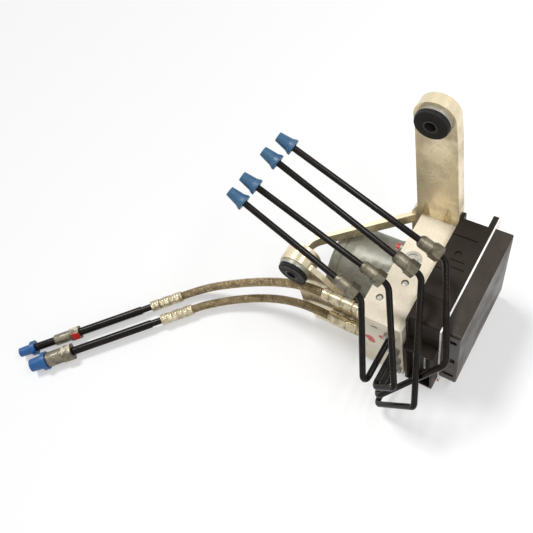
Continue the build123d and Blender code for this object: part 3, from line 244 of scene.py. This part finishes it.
def strand_frames(frames, way, offset):
    lean = math.atan(2 * math.pi * strand_middle / lay_length)
    found = []
    reach = 0.0
    for before, frame in zip(frames[:1] + frames, frames):
        reach += (frame.translation - before.translation).length
        turns = reach / lay_length
        over = way * strand_lift * math.cos(2 * math.pi * strands_each_way * turns)
        found.append(frame
                     @ Matrix.Rotation(2 * math.pi * (way * turns + offset), 4, "Z")
                     @ Matrix.Translation((strand_middle + over, 0, 0))
                     @ Matrix.Rotation(-way * lean, 4, "X"))
    return found


def strand_faces(line):
    return strand_sides * (len(line) - 1) + 2


def braided_hose(name, line, strand_line):
    core = sweep_ring(frames_along(line), core_sides, Matrix.Diagonal((core_radius, core_radius, 1, 1)))
    strand_profile = Matrix.Diagonal((strand_thickness / 2, strand_width / 2, 1, 1))
    middles = frames_along(strand_line)
    strands = []
    for way in (1, -1):
        for number in range(strands_each_way):
            wound = strand_frames(middles, way, number / strands_each_way)
            strands.append(sweep_ring(wound, strand_sides, strand_profile))
    return as_object(name, [core] + strands)


upper_strand_line = smooth_line("upper_strand_route", upper_route, strand_detail)
lower_strand_line = smooth_line("lower_strand_route", lower_route, strand_detail)
upper_braid = braided_hose("upper_braid", upper_line, upper_strand_line)
lower_braid = braided_hose("lower_braid", lower_line, lower_strand_line)

# %% [markdown]
# Each braided hose is attached to the unit's body, and the plain hose from the solids that it replaces is
# hidden.

# %% Attach the braided hoses and hide the plain ones
for tube, line, place in ((upper_braid, upper_line, "upper"), (lower_braid, lower_line, "lower")):
    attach(tube, "unit")
    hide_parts(place + "_hose")

# %% [markdown]
# ## Threads on the nuts
# In the solids a thread is a plain cylinder, so its ridge is added here.
# A small ring is spun round the nut's axis and moved a little along it at each step, which makes a helix.
# A nut's axis runs the way that the nut slides. The rim at its far end is read from the nut's own
# vertices, and the middle of that rim is a point on the axis.

# %% Thread maker
pipe_ways = {joint["name"].removesuffix("_slide"): Vector(joint["axis"]) for joint in frame["joints"]
             if joint["name"].startswith("tube_nut")}
end_way = Vector(next(joint["axis"] for joint in frame["joints"] if joint["name"] == "upper_end_nut_slide"))
thread_steps = 24
ridge_sides = 6
ridge_share = 0.34
rim_depth = 0.0001
print("nut axes:", {name: [round(v, 3) for v in way] for name, way in pipe_ways.items()})


def thread_on(node, body, way, radius, from_end, length, pitch):
    places = [vertex.co.copy() for vertex in nodes[node].data.vertices]
    end = max(place.dot(way) for place in places)
    rim = [place for place in places if place.dot(way) > end - rim_depth]
    start = sum(rim, Vector()) / len(rim) - way * (from_end + length - pitch / 2)
    side = way.orthogonal().normalized()
    turns = int(length / pitch) - 1
    frame_here = Matrix((side, way, side.cross(way))).transposed().to_4x4()
    ridge = Matrix.Diagonal((pitch * ridge_share, pitch * ridge_share, 1, 1))
    shape = bmesh.new()
    bmesh.ops.create_circle(shape, segments=ridge_sides, radius=1.0,
                            matrix=Matrix.Translation(start + side * radius) @ frame_here @ ridge)
    bmesh.ops.spin(shape, geom=shape.verts[:] + shape.edges[:], cent=start, axis=way,
                   dvec=way * pitch / thread_steps, angle=2 * math.pi * turns, steps=turns * thread_steps)
    bmesh.ops.holes_fill(shape, edges=[edge for edge in shape.edges if edge.is_boundary],
                         sides=ridge_sides)
    bmesh.ops.recalc_face_normals(shape, faces=shape.faces)
    for face in shape.faces:
        face.smooth = True
    piece = as_object(node + "_thread", [shape])
    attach(piece, body)
    return piece


# %% [markdown]
# The four small nuts have a short thread behind a plain nose. The two nuts on the hoses' ends are
# larger, and their threads run up to the end, each with its own radius.

# %% Threads
nut_nose, nut_thread, nut_thread_radius, nut_pitch = 0.0022, 0.0086, 0.0048, 0.0010
pipe_threads = [thread_on(name, name + "_body", way, nut_thread_radius, nut_nose, nut_thread, nut_pitch)
                for name, way in pipe_ways.items()]
end_nose, end_thread, end_pitch = 0.0, 0.0170, 0.0014
end_thread_radii = {"upper_end_nut": 0.0051, "lower_end_nut": 0.0070}
end_threads = [thread_on(name, name + "_body", end_way, radius, end_nose, end_thread, end_pitch)
               for name, radius in end_thread_radii.items()]

# %% [markdown]
# ## A plain studio
# The photograph has a white table and a white background, and both stay white to their edges.
# The floor is one large sheet at the height of the bracket's floor. A matt white sheet alone would
# come out grey, so it also glows a little, but only for the camera and in reflections. The parts are
# not lit by that glow, and their soft shadows still show on the matt share of the sheet.

# %% Floor
floor_size = 6.0
floor_shape = bmesh.new()
bmesh.ops.create_grid(floor_shape, x_segments=1, y_segments=1, size=floor_size / 2)
floor_mesh = bpy.data.meshes.new("floor")
floor_shape.to_mesh(floor_mesh)
floor_shape.free()
floor_mesh.transform(Matrix.Translation((0, 0, floor_height)))
floor = bpy.data.objects.new("floor", floor_mesh)
bpy.context.collection.objects.link(floor)


def seen_directly(tree):
    rays = tree.nodes.new("ShaderNodeLightPath")
    total = rays.outputs["Is Camera Ray"]
    for label in ("Is Glossy Ray", "Is Transmission Ray"):
        both = tree.nodes.new("ShaderNodeMath")
        both.operation = "MAXIMUM"
        tree.links.new(total, both.inputs[0])
        tree.links.new(rays.outputs[label], both.inputs[1])
        total = both.outputs[0]
    return total


print("floor", floor_size, "m wide")

# %% [markdown]
# The floor's shader mixes a matt white with a plain white glow. Two kinds of ray see the glow beside
# the camera's own: those that a glossy surface sends out, and those that pass through a clear one.

# %% Floor paint
floor_glow_share = 0.42
floor_white = (0.97, 0.97, 0.97, 1)
floor_paint = bpy.data.materials.new("white_floor")
floor_paint.use_nodes = True
tree = floor_paint.node_tree
tree.nodes.clear()
matt = tree.nodes.new("ShaderNodeBsdfDiffuse")
matt.inputs["Color"].default_value = floor_white
glow = tree.nodes.new("ShaderNodeEmission")
glow.inputs["Strength"].default_value = 1.0
share = tree.nodes.new("ShaderNodeMath")
share.operation = "MULTIPLY"
share.inputs[1].default_value = floor_glow_share
blend = tree.nodes.new("ShaderNodeMixShader")
surface = tree.nodes.new("ShaderNodeOutputMaterial")
tree.links.new(seen_directly(tree), share.inputs[0])
tree.links.new(share.outputs[0], blend.inputs[0])
tree.links.new(matt.outputs[0], blend.inputs[1])
tree.links.new(glow.outputs[0], blend.inputs[2])
tree.links.new(blend.outputs[0], surface.inputs["Surface"])
floor.data.materials.append(floor_paint)
print(floor_paint.name, "glows by", floor_glow_share)

# %% [markdown]
# The shadows in the photograph are short and soft and fall to the right, so the key lamp is a wide
# sun high on the left. A weak lamp on the right keeps the control unit's side readable, and a long
# strip overhead draws the bright line that runs along each glossy pipe.
# The world is full white where the camera or a reflection sees it, and lights the parts by about a
# quarter of that.

# %% Lamps and world


def aimed(name, lamp, place, aim):
    stand = bpy.data.objects.new(name, lamp)
    stand.location = place
    stand.rotation_euler = (Vector(aim) - Vector(place)).to_track_quat("-Z", "Y").to_euler()
    bpy.context.collection.objects.link(stand)
    print(name, "lamp at", place)


def soft_lamp(name, place, aim, width, height, power):
    lamp = bpy.data.lights.new(name, "AREA")
    lamp.shape = "RECTANGLE"
    lamp.size = width
    lamp.size_y = height
    lamp.energy = power
    aimed(name, lamp, place, aim)


middle = (-0.03, -0.06, -0.12)
key_energy, key_angle = 1.9, 16
key = bpy.data.lights.new("key", "SUN")
key.energy = key_energy
key.angle = math.radians(key_angle)
aimed("key", key, (-0.45, 0.03, 0.85), middle)
soft_lamp("fill", (1.20, -0.60, 0.45), middle, width=0.9, height=0.9, power=2.5)
soft_lamp("strip", (0.48, 0.00, 0.86), middle, width=0.9, height=0.13, power=4.5)
world_light, world_seen = 0.24, 1.0
world = bpy.data.worlds.new("studio")
bpy.context.scene.world = world
world.use_nodes = True
sky = world.node_tree
backdrop = sky.nodes["Background"]
backdrop.inputs["Color"].default_value = (1, 1, 1, 1)
brightness = sky.nodes.new("ShaderNodeMapRange")
brightness.inputs["To Min"].default_value = world_light
brightness.inputs["To Max"].default_value = world_seen
sky.links.new(seen_directly(sky), brightness.inputs["Value"])
sky.links.new(brightness.outputs[0], backdrop.inputs["Strength"])
bpy.context.scene.view_settings.view_transform = "Standard"

# %% [markdown]
# ## Effects that several finishes share
# Used metal and moulded plastic are never one flat colour.
# Stains are large and soft, grain is small and sharp, and both come from noise read at the piece's own
# place, so nothing slides when a piece moves.
# A node group keeps each effect in one place, with its sizes as named inputs.

# %% Group maker


def effect(name, inputs, outputs):
    tree = bpy.data.node_groups.new(name, "ShaderNodeTree")
    kinds = {"value": "NodeSocketFloat", "colour": "NodeSocketColor", "vector": "NodeSocketVector"}
    for label, kind, value in inputs:
        socket = tree.interface.new_socket(name=label, in_out="INPUT", socket_type=kinds[kind])
        socket.default_value = value
    for label, kind in outputs:
        tree.interface.new_socket(name=label, in_out="OUTPUT", socket_type=kinds[kind])
    return tree, tree.nodes.new("NodeGroupInput"), tree.nodes.new("NodeGroupOutput")


def noise_node(tree, vector, size, detail=4.0, rough=0.6):
    noise = tree.nodes.new("ShaderNodeTexNoise")
    noise.inputs["Detail"].default_value = detail
    noise.inputs["Roughness"].default_value = rough
    per_metre = tree.nodes.new("ShaderNodeMath")
    per_metre.operation = "DIVIDE"
    per_metre.inputs[0].default_value = 1.0
    tree.links.new(size, per_metre.inputs[1])
    tree.links.new(per_metre.outputs[0], noise.inputs["Scale"])
    tree.links.new(vector, noise.inputs["Vector"])
    return noise.outputs["Fac"]


def ramp(tree, value, low, high, to_low=0.0, to_high=1.0):
    node = tree.nodes.new("ShaderNodeMapRange")
    node.interpolation_type = "SMOOTHSTEP"
    for label, number in (("From Min", low), ("From Max", high), ("To Min", to_low), ("To Max", to_high)):
        node.inputs[label].default_value = number
    tree.links.new(value, node.inputs["Value"])
    return node.outputs[0]


def arithmetic(tree, operation, first, second):
    node = tree.nodes.new("ShaderNodeMath")
    node.operation = operation
    for socket, value in zip(node.inputs, (first, second)):
        if isinstance(value, (int, float)):
            socket.default_value = value
        else:
            tree.links.new(value, socket)
    return node.outputs[0]


def mix_colours(tree, share, first, second):
    node = tree.nodes.new("ShaderNodeMix")
    node.data_type = "RGBA"
    for socket, value in ((node.inputs[0], share), (node.inputs[6], first), (node.inputs[7], second)):
        if isinstance(value, tuple):
            socket.default_value = value
        else:
            tree.links.new(value, socket)
    return node.outputs[2]


# %% [markdown]
# Weathering mixes a clean colour with a stained one by a soft, large noise, and then makes the result
# a little lighter and darker by a fine one. It also puts out both masks, for roughness and bump.

# %% Weathering: stains and grain
stain_edges = (0.38, 0.68)
grain_edges, grain_tints = (0.3, 0.7), (0.88, 1.08)
weathering, given, made = effect(
    "weathering",
    [("Clean", "colour", (0.5, 0.5, 0.5, 1)), ("Stained", "colour", (0.3, 0.3, 0.3, 1)),
     ("Stain share", "value", 0.5), ("Stain size", "value", 0.03), ("Grain size", "value", 0.001),
     ("Stretch", "vector", (1, 1, 1))],
    [("Colour", "colour"), ("Stain", "value"), ("Grain", "value")])
place = weathering.nodes.new("ShaderNodeTexCoord")
stretch = weathering.nodes.new("ShaderNodeVectorMath")
stretch.operation = "MULTIPLY"
weathering.links.new(place.outputs["Object"], stretch.inputs[0])
weathering.links.new(given.outputs["Stretch"], stretch.inputs[1])
stain = noise_node(weathering, place.outputs["Object"], given.outputs["Stain size"])
grain = noise_node(weathering, stretch.outputs[0], given.outputs["Grain size"], detail=3.0, rough=0.5)
stain_mask = ramp(weathering, stain, *stain_edges)
stain_share = arithmetic(weathering, "MULTIPLY", stain_mask, given.outputs["Stain share"])
tinted = mix_colours(weathering, stain_share, given.outputs["Clean"], given.outputs["Stained"])
grain_tint = ramp(weathering, grain, *grain_edges, *grain_tints)
shade = weathering.nodes.new("ShaderNodeVectorMath")
shade.operation = "SCALE"
weathering.links.new(tinted, shade.inputs[0])
weathering.links.new(grain_tint, shade.inputs["Scale"])
weathering.links.new(shade.outputs[0], made.inputs["Colour"])
weathering.links.new(stain_mask, made.inputs["Stain"])
weathering.links.new(grain, made.inputs["Grain"])

# %% [markdown]
# Crimped sleeves, stacked sheets and windings have rings at an even pitch. A sine of the place along
# the axis gives their height, and each finish says how deep they are.

# %% Rings along an axis
rings, given, made = effect(
    "rings",
    [("Axis", "vector", (0, 0, 1)), ("Pitch", "value", 0.001)], [("Height", "value")])
place = rings.nodes.new("ShaderNodeTexCoord")
reach = rings.nodes.new("ShaderNodeVectorMath")
reach.operation = "DOT_PRODUCT"
rings.links.new(place.outputs["Object"], reach.inputs[0])
rings.links.new(given.outputs["Axis"], reach.inputs[1])
turns = arithmetic(rings, "DIVIDE", reach.outputs["Value"], given.outputs["Pitch"])
wave = arithmetic(rings, "SINE", arithmetic(rings, "MULTIPLY", turns, 2 * math.pi), 0.0)
rings.links.new(wave, made.inputs["Height"])

# %% [markdown]
# The red marks are dabs of paint from a brush. A dab is where the distance from its centre stays
# under its radius, and noise added to that distance makes its edge ragged.

# %% A dab of paint at a place
edge_raggedness = 1.6
dab_edge_outside, dab_edge_inside = 1.80, 1.66
paint_dab, given, made = effect(
    "paint_dab", [("Centre", "vector", (0, 0, 0)), ("Radius", "value", 0.003)], [("Mask", "value")])
place = paint_dab.nodes.new("ShaderNodeTexCoord")
away = paint_dab.nodes.new("ShaderNodeVectorMath")
away.operation = "DISTANCE"
paint_dab.links.new(place.outputs["Object"], away.inputs[0])
paint_dab.links.new(given.outputs["Centre"], away.inputs[1])
ragged = noise_node(paint_dab, place.outputs["Object"], given.outputs["Radius"], detail=4.0, rough=0.7)
share = arithmetic(paint_dab, "DIVIDE", away.outputs["Value"], given.outputs["Radius"])
edge = arithmetic(paint_dab, "ADD", share, arithmetic(paint_dab, "MULTIPLY", ragged, edge_raggedness))
dab_mask = ramp(paint_dab, edge, dab_edge_outside, dab_edge_inside)
paint_dab.links.new(dab_mask, made.inputs["Mask"])
print("effects:", [group.name for group in bpy.data.node_groups])

# %% [markdown]
# ## Finishes
# Each finish is a Principled shader with the weathering in front of it.
# Colour and roughness change with the stain, and the grain lifts the surface a little.
# Numbers that are the same all over a piece stay on the shader's own sockets.

# %% Finish maker
red_paint = (0.62, 0.02, 0.02, 1)
grain_strength = 0.6


def finish(name, clean, stained, metallic=0.0, rough=(0.4, 0.6), stain_share=0.6, stain_size=0.03,
           grain_size=0.0012, stretch=(1, 1, 1), grain_depth=0.00002, specular=0.5, ring=None, dabs=()):
    material = bpy.data.materials.new(name)
    material.use_nodes = True
    tree = material.node_tree
    shader = tree.nodes["Principled BSDF"]
    group = tree.nodes.new("ShaderNodeGroup")
    group.node_tree = weathering
    group.inputs["Clean"].default_value = (*clean, 1)
    group.inputs["Stained"].default_value = (*stained, 1)
    group.inputs["Stain share"].default_value = stain_share
    group.inputs["Stain size"].default_value = stain_size
    group.inputs["Grain size"].default_value = grain_size
    group.inputs["Stretch"].default_value = stretch
    colour = group.outputs["Colour"]
    shine = metallic
    for centre, radius in dabs:
        dab = tree.nodes.new("ShaderNodeGroup")
        dab.node_tree = paint_dab
        dab.inputs["Centre"].default_value = centre
        dab.inputs["Radius"].default_value = radius
        colour = mix_colours(tree, dab.outputs["Mask"], colour, red_paint)
        shine = arithmetic(tree, "MULTIPLY", shine, arithmetic(tree, "SUBTRACT", 1.0, dab.outputs["Mask"]))
    tree.links.new(colour, shader.inputs["Base Color"])
    if dabs:
        tree.links.new(shine, shader.inputs["Metallic"])
    else:
        shader.inputs["Metallic"].default_value = metallic
    dull = ramp(tree, group.outputs["Stain"], 0.0, 1.0, *rough)
    tree.links.new(dull, shader.inputs["Roughness"])
    shader.inputs["Specular IOR Level"].default_value = specular
    bump = tree.nodes.new("ShaderNodeBump")
    bump.inputs["Strength"].default_value = grain_strength
    bump.inputs["Distance"].default_value = grain_depth
    tree.links.new(group.outputs["Grain"], bump.inputs["Height"])
    if ring:
        axis, pitch, depth = ring
        wave = tree.nodes.new("ShaderNodeGroup")
        wave.node_tree = rings
        wave.inputs["Axis"].default_value = axis
        wave.inputs["Pitch"].default_value = pitch
        turned = tree.nodes.new("ShaderNodeBump")
        turned.inputs["Strength"].default_value = 1.0
        turned.inputs["Distance"].default_value = depth
        tree.links.new(wave.outputs["Height"], turned.inputs["Height"])
        tree.links.new(turned.outputs["Normal"], bump.inputs["Normal"])
    tree.links.new(bump.outputs["Normal"], shader.inputs["Normal"])
    return material


def dress(material, *names):
    for name in names:
        piece = nodes[name]
        piece.data.materials.clear()
        piece.data.materials.append(material)
    print(material.name, "on", ", ".join(names))


# %% [markdown]
# ### Metals of the block, motor and bracket
# The valve block is milled and clear anodised, so it is almost white and finely lined along its length.
# The motor can is drawn steel with a grey-green zinc coat, and the bracket is pressed aluminium
# that has gone dull and yellowish. All of them are stained where hands and brake fluid have been.

# %% Block, motor and bracket
port_face_dabs = [((-0.0018, -0.1155, -0.1435), 0.0044), ((-0.0002, -0.1155, -0.1480), 0.0038),
                  ((0.0104, -0.1155, -0.1316), 0.0040)]
block_metal = finish("milled_aluminium", clean=(0.80, 0.72, 0.57), stained=(0.60, 0.52, 0.39),
                     metallic=0.22, rough=(0.36, 0.5), stain_share=0.5, stain_size=0.035,
                     grain_size=0.0016, stretch=(6, 0.6, 6), grain_depth=0.00003, dabs=port_face_dabs)
dress(block_metal, "valve_block", "accumulator_covers")
can_metal = finish("drawn_steel", clean=(0.235, 0.235, 0.195), stained=(0.135, 0.130, 0.095),
                   metallic=0.65, rough=(0.42, 0.6), stain_share=0.7, stain_size=0.02, grain_size=0.002,
                   stretch=(0.5, 4, 4))
dress(can_metal, "motor_can")
bracket_metal = finish("pressed_aluminium", clean=(0.86, 0.75, 0.53), stained=(0.46, 0.385, 0.255),
                       metallic=0.90, rough=(0.26, 0.50), stain_share=0.8, grain_size=0.0010,
                       stretch=(3, 3, 0.5), grain_depth=0.00004)
dress(bracket_metal, "bracket")
plate_tip_dab = [((0.0543, -0.1075, -0.1965), 0.0052)]
plate_metal = finish("sawn_aluminium", clean=(0.90, 0.89, 0.86), stained=(0.75, 0.73, 0.68),
                     metallic=0.6, rough=(0.35, 0.5), stain_share=0.4, stain_size=0.02,
                     grain_size=0.0008, dabs=plate_tip_dab)
dress(plate_metal, "ecu_plate")

# %% [markdown]
# ### Fittings
# Nuts and screws are zinc plated and have gone grey-brown. The crests of their threads are a lighter
# copy of that zinc. This is partly wear where the nut was screwed in and out, and partly a painted
# highlight that sets the ridges off from the darker nut body.
# The crimped ferrules are brighter and yellowish, with the rings that the crimping tool leaves.

# %% Nuts, screws, ferrules
nut_metal = finish("dull_zinc", clean=(0.17, 0.152, 0.108), stained=(0.070, 0.062, 0.042), metallic=0.8,
                   rough=(0.35, 0.6), stain_share=0.7, stain_size=0.006, grain_size=0.0008)
dress(nut_metal, "tube_nut_1", "tube_nut_2", "tube_nut_3", "tube_nut_4")
# Lighter zinc on the thread ridges: partly wear, partly a painted highlight.
crest_wear_and_painted_highlight = finish("crests_worn_and_painted_highlight", clean=(0.30, 0.270, 0.205), stained=(0.15, 0.132, 0.096),
                     metallic=0.8, rough=(0.30, 0.5), stain_share=0.7, stain_size=0.006,
                     grain_size=0.0006)
for ridge in pipe_threads + end_threads:
    ridge.data.materials.append(crest_wear_and_painted_highlight)
hex_dab = [((-0.2710, -0.2285, -0.1870), 0.0045)]
end_nut_metal = finish("dull_zinc_end", clean=(0.20, 0.180, 0.135), stained=(0.085, 0.075, 0.052),
                       metallic=0.8, rough=(0.35, 0.6), stain_share=0.7, stain_size=0.006,
                       grain_size=0.0008, dabs=hex_dab)
dress(end_nut_metal, "upper_end_nut", "lower_end_nut")
screw_dab = [((-0.0087, -0.0450, -0.1092), 0.0036)]
screw_metal = finish("grey_zinc", clean=(0.42, 0.41, 0.37), stained=(0.22, 0.20, 0.16), metallic=0.85,
                     rough=(0.3, 0.5), stain_size=0.006, grain_size=0.0008, dabs=screw_dab)
dress(screw_metal, "motor_screws", "pump_plugs", "ball_plugs", "ecu_screws", "bracket_bolts",
      "bush_washers", "port_nuts", "motor_end_plate")
union_metal = finish("yellow_zinc", clean=(0.58, 0.51, 0.35), stained=(0.25, 0.21, 0.125), metallic=0.9,
                     rough=(0.22, 0.42), stain_share=0.8, stain_size=0.005, grain_depth=0.00001)
dress(union_metal, "hose_unions")
ferrule_metal = finish("yellow_zinc_end", clean=(0.60, 0.53, 0.37), stained=(0.26, 0.22, 0.13),
                       metallic=0.9, rough=(0.22, 0.42), stain_share=0.8, stain_size=0.005,
                       grain_depth=0.00001, ring=(tuple(end_way), 0.0052, 0.0004))
dress(ferrule_metal, "upper_end_ferrule", "lower_end_ferrule")

# %% [markdown]
# ### Coated pipe, rubber and plastics
# Brake pipe is steel with a thin glossy black coat, slightly brown where it has faded.
# The control unit is glass-filled plastic, matt with a fine grain, and the bushes are soft rubber.
# The pipe's coat is smooth, which makes its highlight narrow, but its reflectance is set low,
# because at the usual value the white surroundings would turn the pipe grey.

# %% Pipes, plastics, rubber
pipe_coat = finish("coated_pipe", clean=(0.004, 0.003, 0.002), stained=(0.014, 0.009, 0.006),
                   rough=(0.16, 0.28), stain_share=0.7, stain_size=0.012, grain_size=0.0015,
                   grain_depth=0.000006, specular=0.15)
dress(pipe_coat, "brake_pipe_1", "brake_pipe_2", "brake_pipe_3", "brake_pipe_4",
      "upper_end_pipe", "lower_end_pipe")
unit_plastic = finish("glass_filled_plastic", clean=(0.016, 0.011, 0.007),
                      stained=(0.030, 0.022, 0.014), rough=(0.42, 0.6), stain_share=0.5,
                      grain_size=0.0009, grain_depth=0.00008, specular=0.16, dabs=plate_tip_dab)
dress(unit_plastic, "ecu_housing", "brush_holder")
cover_plastic = finish("cover_plastic", clean=(0.022, 0.014, 0.008), stained=(0.046, 0.032, 0.020),
                       rough=(0.34, 0.5), stain_share=0.5, grain_size=0.0009, grain_depth=0.00006,
                       specular=0.34, dabs=plate_tip_dab)
dress(cover_plastic, "ecu_cover")
bush_rubber = finish("bush_rubber", clean=(0.010, 0.009, 0.008), stained=(0.026, 0.023, 0.019),
                     rough=(0.45, 0.7), stain_share=0.5, stain_size=0.008, grain_size=0.0010,
                     grain_depth=0.00006, specular=0.18)
dress(bush_rubber, "upper_bush", "lower_bush", "ecu_seal")
sleeve_metal = finish("dark_sleeve", clean=(0.06, 0.06, 0.062), stained=(0.03, 0.03, 0.03),
                      metallic=0.6, stain_size=0.006, grain_size=0.0008)
dress(sleeve_metal, "bush_sleeves")
pipe_cap_blue = finish("faded_blue_cap", clean=(0.030, 0.105, 0.205), stained=(0.050, 0.135, 0.240),
                       rough=(0.35, 0.5), stain_size=0.006, grain_depth=0.00003)
dress(pipe_cap_blue, "pipe_caps")
hose_cap_blue = finish("bright_blue_cap", clean=(0.008, 0.090, 0.290), stained=(0.020, 0.125, 0.330),
                       rough=(0.28, 0.45), stain_share=0.5, stain_size=0.006, grain_depth=0.00003)
dress(hose_cap_blue, "upper_end_cap", "lower_end_cap")

# %% [markdown]
# ### Inside the unit
# The parts inside are only seen when the unit is taken apart, and they are finished all the same:
# ground steel, copper, carbon, ferrite magnets and a green circuit board.

# %% Inner pieces
ground_steel = finish("ground_steel", clean=(0.58, 0.58, 0.57), stained=(0.42, 0.41, 0.38),
                      metallic=0.95, rough=(0.2, 0.4), stain_share=0.4, stain_size=0.01,
                      grain_size=0.0006)
dress(ground_steel, "motor_bearings", "motor_shaft", "eccentric_bearing", "pump_pistons",
      "pump_springs", "upper_accumulator_piston", "lower_accumulator_piston",
      "upper_accumulator_spring", "lower_accumulator_spring", "inlet_valves", "outlet_valves")
core_steel = finish("stacked_sheet", clean=(0.30, 0.30, 0.31), stained=(0.18, 0.17, 0.16), metallic=0.8,
                    stain_share=0.5, stain_size=0.01, grain_size=0.0006,
                    ring=((1, 0, 0), 0.0005, 0.00006))
dress(core_steel, "armature")
copper_wire = finish("enamelled_copper", clean=(0.60, 0.24, 0.10), stained=(0.38, 0.14, 0.06),
                     metallic=0.85, rough=(0.28, 0.45), stain_share=0.5, stain_size=0.006,
                     grain_size=0.0005, ring=((1, 0, 0), 0.0006, 0.00010))
dress(copper_wire, "armature_windings", "commutator", "valve_coils")
ferrite = finish("ferrite", clean=(0.055, 0.055, 0.058), stained=(0.090, 0.088, 0.086), metallic=0.2,
                 rough=(0.5, 0.7))
dress(ferrite, "motor_magnets")
carbon = finish("carbon", clean=(0.025, 0.025, 0.026), stained=(0.055, 0.054, 0.052), metallic=0.1,
                rough=(0.5, 0.7))
dress(carbon, "motor_brushes")
board_lacquer = finish("board_lacquer", clean=(0.02, 0.13, 0.05), stained=(0.03, 0.18, 0.08),
                       rough=(0.3, 0.45))
dress(board_lacquer, "circuit_board")
chip_plastic = finish("chip_plastic", clean=(0.020, 0.020, 0.021), stained=(0.045, 0.044, 0.042),
                      rough=(0.45, 0.6))
dress(chip_plastic, "board_chips")
tinned = finish("tinned_pins", clean=(0.75, 0.73, 0.68), stained=(0.55, 0.52, 0.45), metallic=0.95,
                rough=(0.2, 0.35))
dress(tinned, "connector_pins")

# %% [markdown]
# ### Braid on the hoses
# The strands are real shapes, so the finish only has to be right for one strand: worn steel wire
# with a straw yellow tint, darker where dirt has settled.
# The hose under the strands is dark rubber. Its faces are the first ones of the shape.

# %% Braid
strand_wire = finish("braid", clean=(0.42, 0.33, 0.19), stained=(0.17, 0.125, 0.065), metallic=0.85,
                     rough=(0.26, 0.44), stain_share=0.8, stain_size=0.005, grain_size=0.0005)
core_faces = {tube: len(tube.data.polygons) - 2 * strands_each_way * strand_faces(line)
              for tube, line in ((upper_braid, upper_strand_line), (lower_braid, lower_strand_line))}
for tube, first_faces in core_faces.items():
    tube.data.materials.append(strand_wire)
    tube.data.materials.append(bush_rubber)
    for face in tube.data.polygons[:first_faces]:
        face.material_index = 1
print("faces of the hoses under the braid:", list(core_faces.values()))

# %% [markdown]
# ## The accumulator springs
# Each accumulator's spring is held by its cover and pushed by its piston.
# Each spring is given a mesh of its own here.

# %% Springs
for side in ("upper", "lower"):
    spring = nodes[side + "_accumulator_spring"]
    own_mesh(spring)

# %% [markdown]
# ## Measure and finish
# The box of the solids, read when the frame was loaded, is printed.

# %% Sizes
print("CAD box", cad_box)
